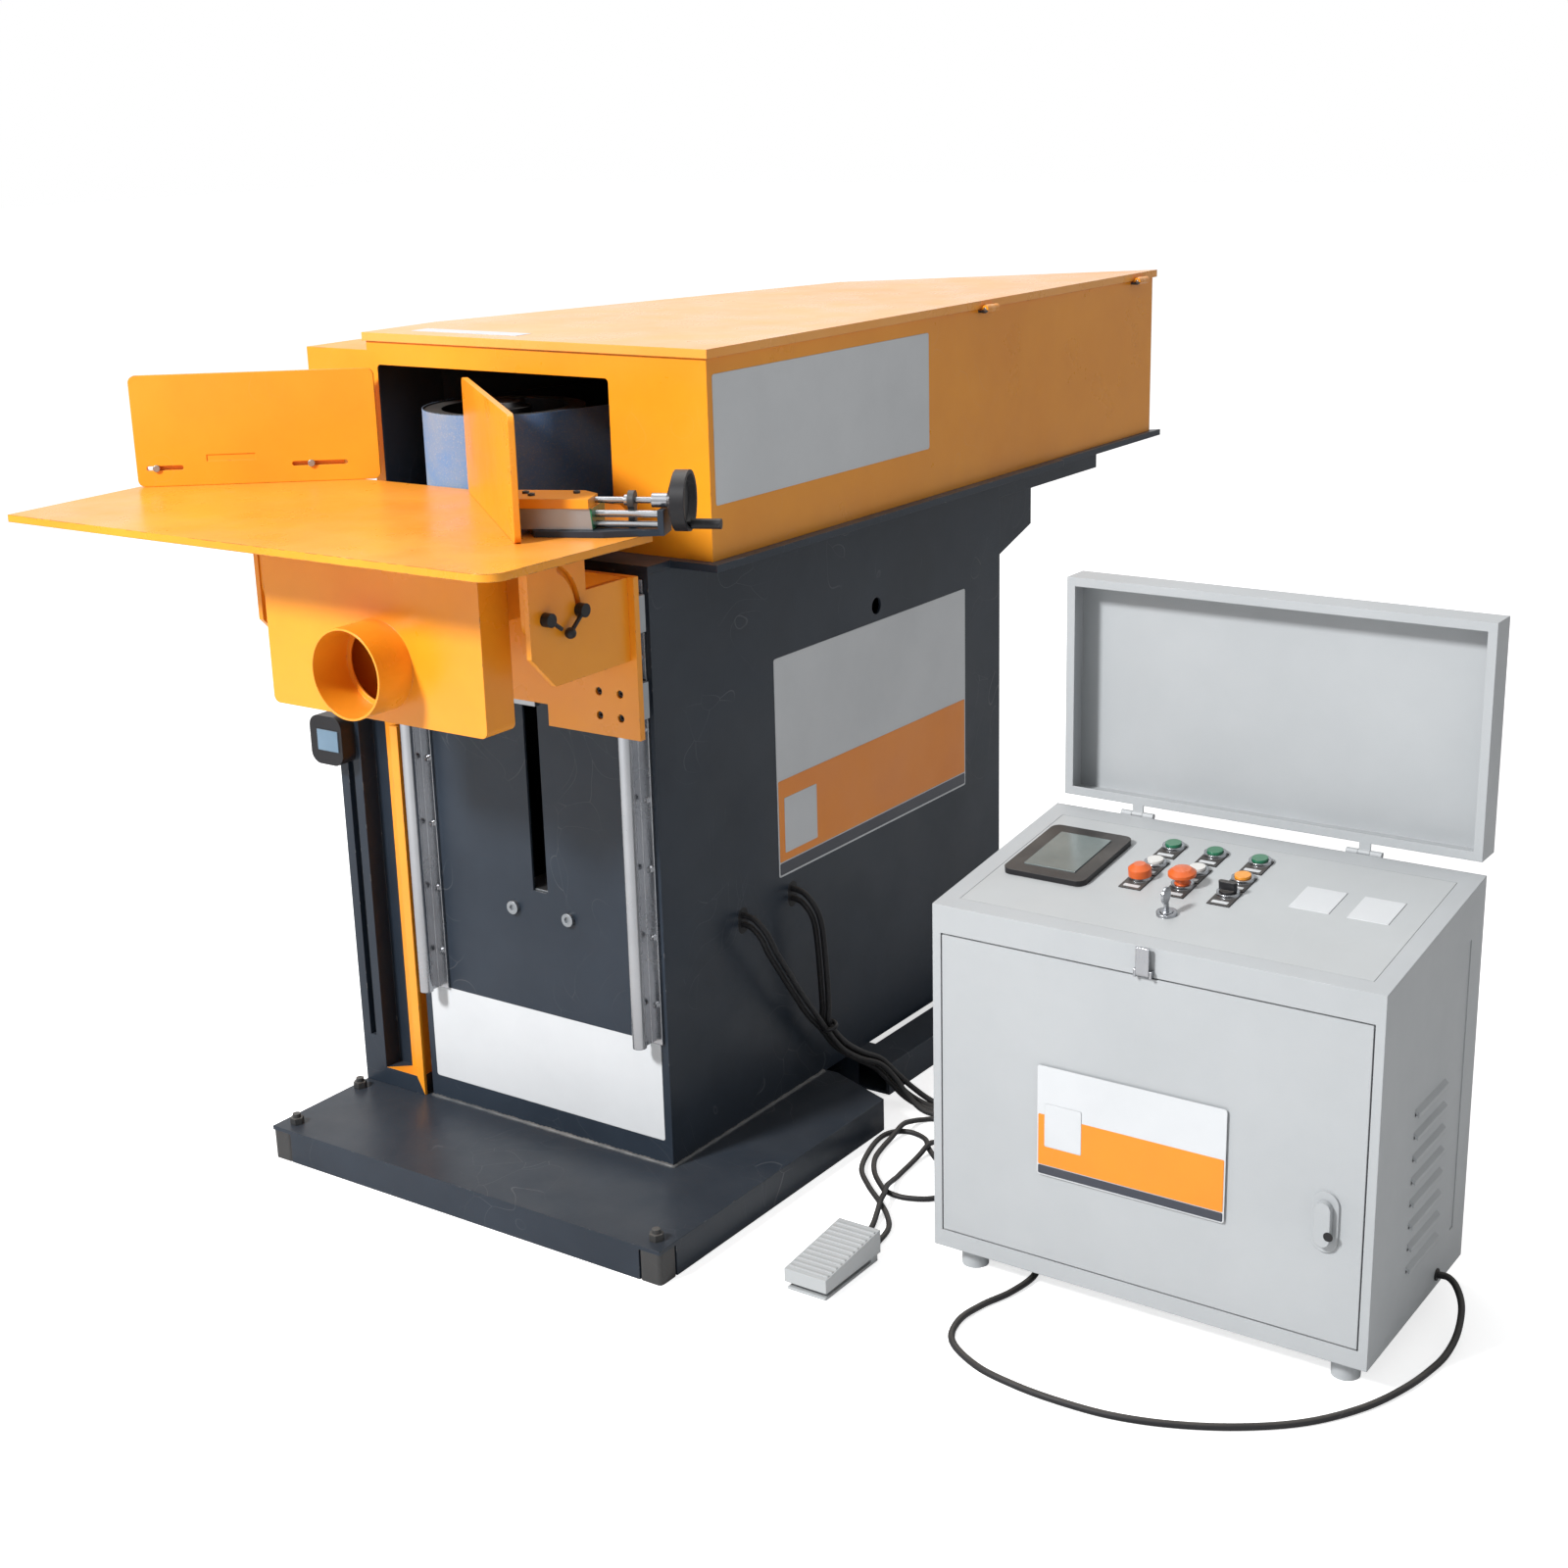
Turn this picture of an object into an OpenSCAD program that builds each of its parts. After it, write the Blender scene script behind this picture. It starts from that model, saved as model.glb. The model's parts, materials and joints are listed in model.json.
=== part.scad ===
// Corner grinding machine: a belt grinding head on a column, a table that lifts and tilts
// in front of it, a control cabinet and a foot pedal. Millimetres, +Z up, and the operator
// stands on the -Y side. The origin is on the floor, under the middle of the column.

/* [Column and base] */
// Width of the column
column_w = 464; // [440:2:490]
// Depth of the column
column_d = 940; // [920:5:980]
// Height of the column's top above the floor
column_top = 912; // [900:1:930]
// Sheet thickness of the column
column_wall = 4; // [3:0.5:5]
// Width of the front base plate
base_w = 732; // [700:2:780]
// Depth of the front base plate
base_d = 600; // [540:5:620]
// Height of the base above the floor
base_h = 51; // [45:1:60]
// Length of the base in front of the column
base_apron = 207; // [180:1:240]
// Sheet thickness of the base
base_sheet = 6; // [5:0.5:8]
// Width of the rear base rails
rear_rail_w = 63; // [50:1:70]

/* [Lift and rails] */
// Distance from the middle of one rail to the middle of the other
rail_pitch = 405; // [385:1:420]
// Length of the rails
rail_len = 665; // [620:5:680]
// Diameter of the rail shafts
rail_dia = 20; // [16:1:25]
// Width of the slot in the column's front
slot_w = 27; // [24:1:34]
// Diameter of the lift screw
lift_screw_dia = 24; // [20:1:30]

/* [Carriage] */
// Width of the carriage plate
carriage_w = 504; // [490:2:520]
// Height of the carriage plate's top above the floor
carriage_top = 920; // [915:1:930]
// Height of the carriage plate
carriage_h = 220; // [210:1:230]
// Thickness of the carriage plate
carriage_t = 10; // [8:1:14]
// Thickness of the gussets
gusset_t = 8; // [6:1:10]
// Height of the table's pivot above the floor
pivot_z = 897; // [890:1:902]
// Radius of the arc slot for the tilt
arc_r = 66; // [60:1:70]

/* [Table and fences] */
// Height of the table's top above the floor at rest
table_top_z = 995; // [990:1:1002]
// Thickness of the table
table_t = 10; // [8:1:12]
// Height of both fences
fence_h = 158; // [130:1:180]
// Thickness of both fences
fence_t = 8; // [6:1:10]
// Length of the left fence
left_fence_len = 345; // [330:1:345]
// Length of the right fence
right_fence_len = 410; // [380:1:410]
// Width of the dust hopper
hopper_w = 380; // [340:2:390]
// Outer diameter of the dust outlet
duct_dia = 120; // [100:1:125]
// Length of the dust outlet
duct_len = 60; // [40:1:65]

/* [Grinding head] */
// Width of the abrasive belt
belt_w = 150; // [120:1:160]
// Thickness of the abrasive belt
belt_t = 1.5; // [1:0.1:2]
// Diameter of the contact wheel and of the drive wheel
wheel_dia = 233; // [220:1:235]
// Distance between the two wheel centres
wheel_gap = 880; // [850:1:882]
// Height of the head's housing
housing_h = 266; // [255:1:290]
// Thickness of the lid
lid_t = 12; // [10:1:20]
// Thickness of the plate under the head
head_plate_t = 10; // [8:1:14]

/* [Hand-wheel slide] */
// Diameter of the hand wheel
hand_wheel_dia = 76; // [60:1:78]
// Diameter of the slide's guide rods
guide_dia = 9; // [7:0.5:10]
// Diameter of the slide's lead screw
lead_dia = 8; // [6:0.5:9]
// Direction of the slide on the table, in degrees
slide_angle = 24; // [22:1:26]

/* [Control cabinet] */
// Width of the cabinet
cabinet_w = 600; // [590:2:640]
// Depth of the cabinet
cabinet_d = 337; // [330:1:360]
// Height of the cabinet's front edge above the floor
cabinet_front_z = 519; // [505:1:540]
// Height of the cabinet's back edge above its front edge
cabinet_rise = 42; // [30:1:48]
// Sheet thickness of the cabinet
cabinet_sheet = 2.5; // [2:0.5:3]
// Depth of the cabinet's lid
cabinet_lid_depth = 45; // [42:1:60]

/* [Foot pedal] */
// Width of the foot pedal
pedal_w = 66; // [60:1:80]
// Length of the foot pedal
pedal_len = 133; // [120:1:140]

/* [Cables] */
// Diameter of the machine's cables
machine_cable_dia = 9; // [8:0.5:9]
// Diameter of the pedal's two cords
pedal_cord_dia = 8; // [6:0.5:8]

/* [Hidden] */
$fn = 64;

// Overrun of every cut past the face it opens
cut = 1;
// Radial clearance of a shaft that turns or slides in its bore
run_fit = 0.05;
// Gap between flat or curved faces of pieces that move past each other
gap = 0.3;

// Colours of the finishes
orange = [0.98, 0.60, 0.10];
slate = [0.20, 0.23, 0.28];
steel = [0.62, 0.64, 0.66];
chrome = [0.82, 0.84, 0.86];
black = [0.06, 0.06, 0.07];
pale_grey = [0.76, 0.78, 0.79];

// Shapes that several pieces share

// A closed outline moved inwards by d; its points run anticlockwise
function side_dir(a, b) = (b - a) / norm(b - a);
function left_normal(u) = [-u[1], u[0]];
function inset(pts, d) = let (n = len(pts)) [for (i = [0:n - 1])
    let (p = pts[(i + n - 1) % n], q = pts[i], r = pts[(i + 1) % n],
        m1 = left_normal(side_dir(p, q)), m2 = left_normal(side_dir(q, r)))
    q + d * (m1 + m2) / (1 + m1 * m2)];

// A rectangle with round corners, with its low corner at the origin
module round_rect(w, h, r) {
    translate([r, 0]) square([w - 2 * r, h]);
    translate([0, r]) square([w, h - 2 * r]);
    for (x = [r, w - r], y = [r, h - r]) translate([x, y]) circle(r);
}
// A slot with round ends, lying along X and centred on the origin
module slot_2d(length, width) {
    square([length - width, width], center = true);
    for (s = [-1, 1]) translate([s * (length - width) / 2, 0]) circle(width / 2);
}
// Children drawn in (Y, Z), made t thick from the plane at x
module plate_yz(x, t) translate([x, 0, 0]) rotate([90, 0, 90]) linear_extrude(t) children();
// Children drawn in (X, Z), made t thick from the plane at y
module plate_xz(y, t) translate([0, y + t, 0]) rotate([90, 0, 0]) linear_extrude(t) children();
// A box from its low corner
module block(low, size) translate(low) cube(size);
// A round bar along X, Y or Z from its start
module bar_x(p, r, l) translate(p) rotate([0, 90, 0]) cylinder(r = r, h = l);
module bar_y(p, r, l) translate(p) rotate([-90, 0, 0]) cylinder(r = r, h = l);
module bar_z(p, r, l) translate(p) cylinder(r = r, h = l);
// The outline of a band round two equal circles at a and b
module loop_2d(a, b, r) {
    d = norm(b - a);
    turn = atan2(b[1] - a[1], b[0] - a[0]);
    translate(a) rotate(turn) {
        circle(r);
        translate([0, -r]) square([d, 2 * r]);
        translate([d, 0]) rotate(180) circle(r);
    }
}
// A flat head screw or bolt head with a hexagon socket, standing on Z
module socket_head(r, h, socket) difference() {
    cylinder(r = r, h = h);
    translate([0, 0, h / 2]) cylinder(r = socket, h = h, $fn = 6);
}
// A tube of one piece swept along a route of points
function route_dir(p, i) = side_dir(p[max(i - 1, 0)], p[min(i + 1, len(p) - 1)]);
function ring_side(t) = let (s = cross(t, [0, 0, 1]))
    norm(s) > 0.05 ? s / norm(s) : [0, 1, 0];
module cord_tube(p, dia, sides) {
    n = len(p);
    rings = [for (i = [0:n - 1]) let (t = route_dir(p, i), s = ring_side(t), u = cross(s, t))
        for (k = [0:sides - 1]) let (a = 360 * k / sides)
            p[i] + dia / 2 * (cos(a) * s + sin(a) * u)];
    skin = [for (i = [0:n - 2], k = [0:sides - 1]) let (j = (k + 1) % sides)
        [i * sides + k, i * sides + j, (i + 1) * sides + j, (i + 1) * sides + k]];
    first = [[for (k = [sides - 1:-1:0]) k]];
    last = [[for (k = [0:sides - 1]) (n - 1) * sides + k]];
    polyhedron(points = rings, faces = concat(skin, first, last), convexity = 8);
}

// Places of the column and the base
column_front = -column_d / 2;
column_back = column_d / 2;
column_side = column_w / 2;
base_front = column_front - base_apron;
base_back = base_front + base_d;
base_cut_x = 112;
base_cut_y = 44;
base_pts = [[-base_w / 2, base_front], [base_w / 2, base_front],
    [base_w / 2, base_back - base_cut_y], [base_w / 2 - base_cut_x, base_back],
    [-base_w / 2 + base_cut_x, base_back], [-base_w / 2, base_back - base_cut_y]];
cap_size = 36;
foot_bolt_r = 6;
foot_bolt_inset = 25;
foot_nut_r = 10.5;
foot_nut_h = 10;
foot_clear = 0.5;
foot_x = base_w / 2 - foot_bolt_inset;
foot_y = base_front + foot_bolt_inset + cut;

// Front base plate: a folded tray, open below, with its front corners cut out for the caps
module base_plate() color(slate) difference() {
    linear_extrude(base_h) polygon(base_pts);
    translate([0, 0, -cut]) linear_extrude(base_h - base_sheet + cut)
        polygon(inset(base_pts, base_sheet));
    for (s = [-1, 1]) {
        translate([s * base_w / 2, base_front, -cut])
            linear_extrude(base_h - base_sheet + cut) square(2 * cap_size, center = true);
        bar_z([s * foot_x, foot_y, 0], foot_bolt_r + foot_clear, base_h + cut);
    }
}

// Corner caps that carry the levelling bolts, and the bolts and nuts themselves
rear_frame_front = -12;
rear_frame_back = 560;
rear_rail_gap = 12;
rear_rail_in = column_side + rear_rail_gap;
rear_rail_out = rear_rail_in + rear_rail_w;
rear_bolt_y = rear_frame_back - 2 * foot_bolt_inset;
bolt_rise = 16;
post_bolt = [-352, -507];
cap_round = 6;
module foot_bolt(x, y) {
    bar_z([x, y, 0], foot_bolt_r, base_h + bolt_rise);
    translate([x, y, base_h]) cylinder(r = foot_nut_r, h = foot_nut_h, $fn = 6);
}
module base_fittings() color(black) {
    for (s = [-1, 1]) {
        difference() {
            translate([s * base_w / 2 - (s + 1) / 2 * cap_size, base_front, 0])
                linear_extrude(base_h - base_sheet) round_rect(cap_size, cap_size, cap_round);
            bar_z([s * foot_x, foot_y, -cut], foot_bolt_r + foot_clear, base_h);
        }
        foot_bolt(s * foot_x, foot_y);
        foot_bolt(s * (rear_rail_in + rear_rail_w / 2), rear_bolt_y);
    }
    translate([post_bolt[0], post_bolt[1], base_h]) {
        cylinder(r = foot_nut_r, h = foot_nut_h, $fn = 6);
        cylinder(r = foot_bolt_r, h = bolt_rise);
    }
}

// Rear base: two square-section rails beside the column and two cross members under it
rear_wall = 5;
cross_member_w = 60;
spine_w = 60;
module rear_members(t) {
    for (s = [-1, 1]) translate([s * (rear_rail_in + rear_rail_w / 2) - rear_rail_w / 2 + t,
        rear_frame_front + (t > 0 ? -cut : 0), t])
        cube([rear_rail_w - 2 * t, rear_frame_back - rear_frame_front + (t > 0 ? 2 * cut : 0),
            base_h - 2 * t]);
    for (y = [rear_frame_front, column_back - cross_member_w])
        block([-rear_rail_in - t, y + t, t],
            [2 * rear_rail_in + 2 * t, cross_member_w - 2 * t, base_h - 2 * t]);
    block([-spine_w / 2 + t, base_back, t],
        [spine_w - 2 * t, rear_frame_front - base_back + (t > 0 ? 2 * t : 0), base_h - 2 * t]);
}
module rear_base_frame() color(slate) difference() {
    rear_members(0);
    rear_members(rear_wall);
    for (s = [-1, 1]) bar_z([s * (rear_rail_in + rear_rail_w / 2), rear_bolt_y, -cut],
        foot_bolt_r + foot_clear, base_h + 2 * cut);
}

// Places on the column
slot_x = 11.5;
slot_low = 428;
slot_top = 880;
lift_screw_y = column_front + 50;
lift_bolt_gap = 103;
lift_bolt_z = 396;
lift_bolt_r = 6;
cable_hole_front = [-283, 366];
cable_hole_rear = [-156, 368];
cable_hole_w = 24;
cable_hole_h = 40;
sight_hole = [88, 759];
sight_hole_r = 13;
motor_x = 0;
motor_y = 300;
shelf_t = 10;
shelf_top = column_top - 50;
motor_spigot_r = 60;
top_bearing_t = 8;
top_bearing_z = slot_top + 6;
top_bearing_w = 84;
belt_window_x = -110;
belt_window_w = 290;
belt_window_low = shelf_top + shelf_t;
journal_r = 10;
module column_shell() color(slate) difference() {
    union() {
        difference() {
            block([-column_side, column_front, base_h],
                [column_w, column_d, column_top - base_h]);
            block([-column_side + column_wall, column_front + column_wall, base_h - cut],
                [column_w - 2 * column_wall, column_d - 2 * column_wall,
                    column_top - base_h + 2 * cut]);
        }
        block([-column_side + column_wall, motor_y - column_side / 2, shelf_top - shelf_t],
            [column_w - 2 * column_wall, column_back - column_wall - motor_y + column_side / 2,
                shelf_t]);
        block([slot_x - top_bearing_w / 2, column_front + column_wall, top_bearing_z],
            [top_bearing_w, lift_screw_y - column_front + top_bearing_w / 2 - column_wall,
                top_bearing_t]);
    }
    block([slot_x - slot_w / 2, column_front - cut, slot_low],
        [slot_w, column_wall + 2 * cut, slot_top - slot_low]);
    bar_z([slot_x, lift_screw_y, top_bearing_z - cut], journal_r + run_fit,
        top_bearing_t + 2 * cut);
    bar_z([motor_x, motor_y, shelf_top - shelf_t - cut], motor_spigot_r, shelf_t + 2 * cut);
    for (s = [-1, 1]) bar_y([slot_x + s * lift_bolt_gap / 2, column_front - cut, lift_bolt_z],
        lift_bolt_r, column_wall + 2 * cut);
    for (h = [cable_hole_front, cable_hole_rear])
        plate_yz(column_side - column_wall - cut, column_wall + 2 * cut)
            translate(h) rotate(90) slot_2d(cable_hole_h, cable_hole_w);
    bar_x([column_side - column_wall - cut, sight_hole[0], sight_hole[1]], sight_hole_r,
        column_wall + 2 * cut);
    block([belt_window_x, column_back - column_wall - cut, belt_window_low],
        [belt_window_w, column_wall + 2 * cut, column_top - belt_window_low + cut]);
}

// Limit-switch post at the column's left, with its foot, back plate, switch and orange guard
post_w = 44;
post_d = 30;
post_top = 690;
post_left = -base_w / 2;
post_front = column_front - 7;
post_groove_w = 12;
post_groove_d = 10;
post_groove_low = 130;
post_foot_h = 29;
post_foot_w = 116;
post_foot_d = 90;
post_back_t = 6;
guard_left = -291;
guard_w = 38;
guard_t = 5;
guard_low = 80;
guard_top = 640;
guard_lip_w = 15;
guard_lip_y = column_front - 2;
switch_left = -395;
switch_w = 65;
switch_d = 28;
switch_h = 75;
switch_low = 572;
switch_round = 18;
switch_label_w = 42;
switch_label_h = 32;
switch_label_t = 1.5;
switch_label_x = -379;
switch_label_z = 594;
module limit_post() {
    color(slate) {
        difference() {
            block([post_left, post_front, base_h], [post_w, post_d, post_top - base_h]);
            block([post_left + (post_w - post_groove_w) / 2, post_front - cut, post_groove_low],
                [post_groove_w, post_groove_d + cut, post_top - post_groove_low + cut]);
        }
        block([post_left + post_w, post_front, base_h],
            [post_foot_w - post_w, post_foot_d, post_foot_h]);
        block([post_left, post_front + post_d, base_h],
            [-column_side - post_left, post_back_t, post_top - base_h]);
    }
    color(orange) {
        block([guard_left, post_front + post_d - guard_t, guard_low],
            [guard_w, guard_t, guard_top - guard_low]);
        block([guard_left + guard_w - guard_t, guard_lip_y, guard_low],
            [guard_t, post_front + post_d - guard_lip_y, guard_top - guard_low]);
        block([guard_left + guard_w - guard_t, guard_lip_y - guard_t, base_h],
            [guard_lip_w, guard_t, guard_top - base_h]);
    }
    color(black) plate_xz(post_front - switch_d, switch_d)
        translate([switch_left, switch_low]) round_rect(switch_w, switch_h, switch_round);
    color("steelblue") block([switch_label_x, post_front - switch_d - switch_label_t,
        switch_label_z], [switch_label_w, switch_label_t, switch_label_h]);
}

// Two shaft rails, each on its aluminium support, screwed to the column's front
rail_x = rail_pitch / 2;
rail_low = 240;
rail_top = rail_low + rail_len;
rail_r = rail_dia / 2;
rail_base_w = 46;
rail_base_t = 5;
rail_web_w = 9;
rail_axis_y = column_front - 27;
rail_screw_r = 4.5;
rail_screw_h = 3;
rail_screw_pitch = 100;
rail_screw_x = 15;
rail_screw_first = 60;
module linear_rails() for (s = [-1, 1]) translate([s * rail_x, 0, 0]) {
    color(chrome) bar_z([0, rail_axis_y, rail_low], rail_r, rail_len);
    color(steel) {
        difference() {
            union() {
                block([-rail_base_w / 2, column_front - rail_base_t, rail_low],
                    [rail_base_w, rail_base_t, rail_len]);
                block([-rail_web_w / 2, rail_axis_y, rail_low],
                    [rail_web_w, column_front - rail_axis_y - rail_base_t / 2, rail_len]);
            }
            bar_z([0, rail_axis_y, rail_low - cut], rail_r, rail_len + 2 * cut);
        }
        for (z = [rail_low + rail_screw_first:rail_screw_pitch:rail_top - rail_screw_first],
            x = [-rail_screw_x, rail_screw_x])
            translate([x, column_front - rail_base_t, z]) rotate([90, 0, 0])
                socket_head(rail_screw_r, rail_screw_h, rail_screw_r / 2);
    }
}

// Places of the head. The lid's outline runs anticlockwise from its front left corner.
head_z = column_top + head_plate_t;
lid_low_z = head_z + housing_h;
lid_left = -319;
lid_right = 296;
lid_front = column_front + 61;
lid_left_straight = 154;
lid_tail = [296, 910];
lid_waist = [-112, 526];
lid_pts = [[lid_left, lid_front], [lid_right, lid_front], lid_tail, lid_waist,
    [lid_left, lid_front + lid_left_straight]];
lid_overhang = 4;
housing_wall = 4;
housing_pts = inset(lid_pts, lid_overhang);
housing_in_pts = inset(housing_pts, housing_wall);
housing_front = lid_front + lid_overhang;
housing_right = lid_right - lid_overhang;
wheel_turn = 75;
wheel_a = [-138, column_front + 155];
wheel_b = wheel_a + wheel_gap * [cos(wheel_turn), sin(wheel_turn)];
wheel_r = wheel_dia / 2 - gap;
belt_in_r = wheel_dia / 2;
belt_low = head_z + 23;
head_plate_margin = 10;
head_plate_right = 18;
head_plate_nose = 16;
head_plate_nose_left = -68;
bearing_r = 45;
module head_plate() color(slate) difference() {
    translate([0, 0, column_top]) linear_extrude(head_plate_t) difference() {
        union() {
            polygon(inset(housing_pts, -head_plate_margin));
            translate([-column_side, column_front]) square([column_w, column_d]);
            translate([housing_right - head_plate_margin, housing_front + head_plate_margin])
                square([head_plate_right + head_plate_margin, column_d]);
            translate([head_plate_nose_left, housing_front - head_plate_nose])
                square([housing_right + head_plate_right - head_plate_nose_left,
                    head_plate_nose + 2 * head_plate_margin]);
        }
        translate([lid_left - head_plate_margin - cut, housing_front - head_plate_nose
            - 2 * head_plate_margin])
            square([head_plate_nose_left - lid_left + head_plate_margin + cut,
                head_plate_nose + 2 * head_plate_margin]);
        translate(wheel_b) circle(bearing_r);
    }
}

// Beam that carries the head behind the column: a tray with two gusset brackets under it
beam_low = column_top - 47;
beam_wall = 4;
beam_right = column_side;
beam_tail_y = 815;
beam_left = -118;
beam_tail_w = 8;
beam_corner = [-95, 515];
beam_pts = [[beam_left, column_back], [beam_right, column_back], [beam_right, beam_tail_y],
    [beam_right - beam_tail_w, beam_tail_y], beam_corner];
bracket_xs = [-100, 200];
bracket_t = 12;
bracket_back = column_back + 143;
bracket_deep = 114;
bracket_shallow = 68;
module head_beam() color(slate) {
    difference() {
        translate([0, 0, beam_low]) linear_extrude(column_top - beam_low) polygon(beam_pts);
        translate([0, 0, beam_low + beam_wall]) linear_extrude(column_top)
            polygon(inset(beam_pts, beam_wall));
        block([belt_window_x, column_back - cut, belt_window_low],
            [belt_window_w, beam_wall + 2 * cut, column_top]);
    }
    for (x = bracket_xs) plate_yz(x, bracket_t) polygon([[column_back, beam_low - bracket_deep],
        [bracket_back, beam_low - bracket_shallow], [bracket_back, beam_low],
        [column_back, beam_low]]);
}

// Belt housing: folded walls with the grinding opening in front and a cover box at the left
opening_left = -296;
opening_w = 424;
opening_low = head_z + 13;
opening_h = 220;
opening_round = 6;
cover_w = 122;
cover_d = 148;
cover_low = head_z + 78;
cover_h = 175;
cover_wall = 3;
lid_hinge_ys = [313, 834];
lid_hinge_x = lid_right + 8;
lid_hinge_r = 6;
hinge_pin_r = 2.5;
lid_knuckle = 12;
lid_strap_t = 4;
lid_gap = 0.4;
lid_hinge_z = lid_low_z + lid_gap / 2;
module belt_housing() color(orange) {
    difference() {
        translate([0, 0, head_z]) linear_extrude(housing_h) difference() {
            polygon(housing_pts);
            polygon(housing_in_pts);
        }
        plate_xz(housing_front - cut, housing_wall + 2 * cut)
            translate([opening_left, opening_low])
                round_rect(opening_w, opening_h, opening_round);
    }
    difference() {
        block([lid_left + lid_overhang - cover_w, housing_front, cover_low],
            [cover_w, cover_d, cover_h]);
        block([lid_left + lid_overhang - cover_w + cover_wall, housing_front + cover_wall,
            cover_low + cover_wall],
            [cover_w - cover_wall + cut, cover_d - 2 * cover_wall, cover_h - 2 * cover_wall]);
    }
    for (y = lid_hinge_ys, s = [-1, 1]) difference() {
        union() {
            bar_y([lid_hinge_x, y + s * lid_knuckle - lid_knuckle / 2 + gap / 2, lid_hinge_z],
                lid_hinge_r, lid_knuckle - gap);
            block([housing_right, y + s * lid_knuckle - lid_knuckle / 2 + gap / 2,
                lid_hinge_z - lid_hinge_r],
                [lid_hinge_x - housing_right, lid_knuckle - gap, lid_strap_t]);
        }
        bar_y([lid_hinge_x, y + s * lid_knuckle - lid_knuckle, lid_hinge_z],
            hinge_pin_r, 2 * lid_knuckle);
    }
}

// Lid of the housing, with the middle knuckle of each hinge
lid_rim = 14;
lid_sheet = 4;
module housing_lid() color(orange) {
    difference() {
        translate([0, 0, lid_low_z + lid_gap]) linear_extrude(lid_t) polygon(lid_pts);
        translate([0, 0, lid_low_z - cut]) linear_extrude(lid_t - lid_sheet + cut + lid_gap)
            polygon(inset(lid_pts, lid_rim));
    }
    for (y = lid_hinge_ys) difference() {
        union() {
            bar_y([lid_hinge_x, y - lid_knuckle / 2 + gap / 2, lid_hinge_z], lid_hinge_r,
                lid_knuckle - gap);
            block([lid_right - lid_overhang, y - lid_knuckle / 2 + gap / 2,
                lid_hinge_z + lid_hinge_r - lid_strap_t],
                [lid_hinge_x - lid_right + lid_overhang, lid_knuckle - gap, lid_strap_t]);
        }
        bar_y([lid_hinge_x, y - lid_knuckle, lid_hinge_z], hinge_pin_r + run_fit,
            2 * lid_knuckle);
    }
}

// Abrasive belt round both wheels
module abrasive_belt() color("slateblue") translate([0, 0, belt_low]) linear_extrude(belt_w)
    difference() {
        loop_2d(wheel_a, wheel_b, belt_in_r + belt_t);
        loop_2d(wheel_a, wheel_b, belt_in_r);
    }

// Fixed supports of the wheels: the contact wheel's post and the drive shaft's bearing
post_r = 20;
post_flange_r = 60;
post_flange_h = 12;
post_shoulder_r = 26;
wheel_side_gap = 2;
wheel_hub_low = belt_low + wheel_side_gap;
wheel_hub_h = belt_w - 2 * wheel_side_gap;
post_cap_r = 30;
post_cap_h = 8;
shaft_r = 19;
bearing_flange_r = 70;
bearing_flange_h = 10;
bearing_low = column_top - 12;
bearing_high = head_z + 20;
module wheel_supports() color(steel) {
    translate(wheel_a) {
        bar_z([0, 0, head_z], post_flange_r, post_flange_h);
        bar_z([0, 0, head_z], post_shoulder_r, wheel_hub_low - gap - head_z);
        bar_z([0, 0, head_z], post_r, wheel_hub_low + wheel_hub_h + gap - head_z + post_cap_h);
        bar_z([0, 0, wheel_hub_low + wheel_hub_h + gap], post_cap_r, post_cap_h);
    }
    translate(wheel_b) difference() {
        union() {
            bar_z([0, 0, head_z], bearing_flange_r, bearing_flange_h);
            bar_z([0, 0, bearing_low], bearing_r, bearing_high - bearing_low);
        }
        bar_z([0, 0, bearing_low - cut], shaft_r + run_fit, bearing_high - bearing_low + 2 * cut);
    }
}

// Section of a wheel: hub, web and rim, with its low side at z = 0
wheel_hub_r = 38;
wheel_web_t = 22;
wheel_rim_t = 12;
tyre_t = 14;
module wheel_core(bore_r, rim_r) rotate_extrude() {
    translate([bore_r, 0]) square([wheel_hub_r - bore_r, wheel_hub_h]);
    translate([bore_r, (wheel_hub_h - wheel_web_t) / 2]) square([rim_r - bore_r, wheel_web_t]);
    translate([rim_r - wheel_rim_t, 0]) square([wheel_rim_t, wheel_hub_h]);
}
module contact_wheel() translate([wheel_a[0], wheel_a[1], wheel_hub_low]) {
    color(steel) wheel_core(post_r + run_fit, wheel_r - tyre_t);
    color(black) difference() {
        cylinder(r = wheel_r, h = wheel_hub_h);
        translate([0, 0, -cut]) cylinder(r = wheel_r - tyre_t, h = wheel_hub_h + 2 * cut);
    }
}
module drive_wheel() color(steel) translate([wheel_b[0], wheel_b[1], wheel_hub_low])
    wheel_core(shaft_r, wheel_r);

// Drive shaft with its pulley, the motor's pulley and shaft, and the belt between them
pulley_r = 50;
pulley_h = 22;
pulley_low = belt_window_low + 1;
pulley_groove_r = 42.5;
vbelt_h = 10;
vbelt_in_r = pulley_groove_r + 0.5;
vbelt_out_r = pulley_r + 2;
groove_clear = 0.5;
vbelt_low = pulley_low + (pulley_h - vbelt_h) / 2;
module pulley() difference() {
    cylinder(r = pulley_r, h = pulley_h);
    translate([0, 0, (pulley_h - vbelt_h) / 2 - groove_clear]) difference() {
        cylinder(r = pulley_r + cut, h = vbelt_h + 2 * groove_clear);
        translate([0, 0, -cut]) cylinder(r = pulley_groove_r, h = vbelt_h + 3 * cut);
    }
}
shaft_rise = 5;
module drive_shaft() color(steel) translate(wheel_b) {
    bar_z([0, 0, pulley_low], shaft_r, wheel_hub_low + wheel_hub_h + shaft_rise - pulley_low);
    translate([0, 0, pulley_low]) pulley();
}
motor_shaft_r = 14;
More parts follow.
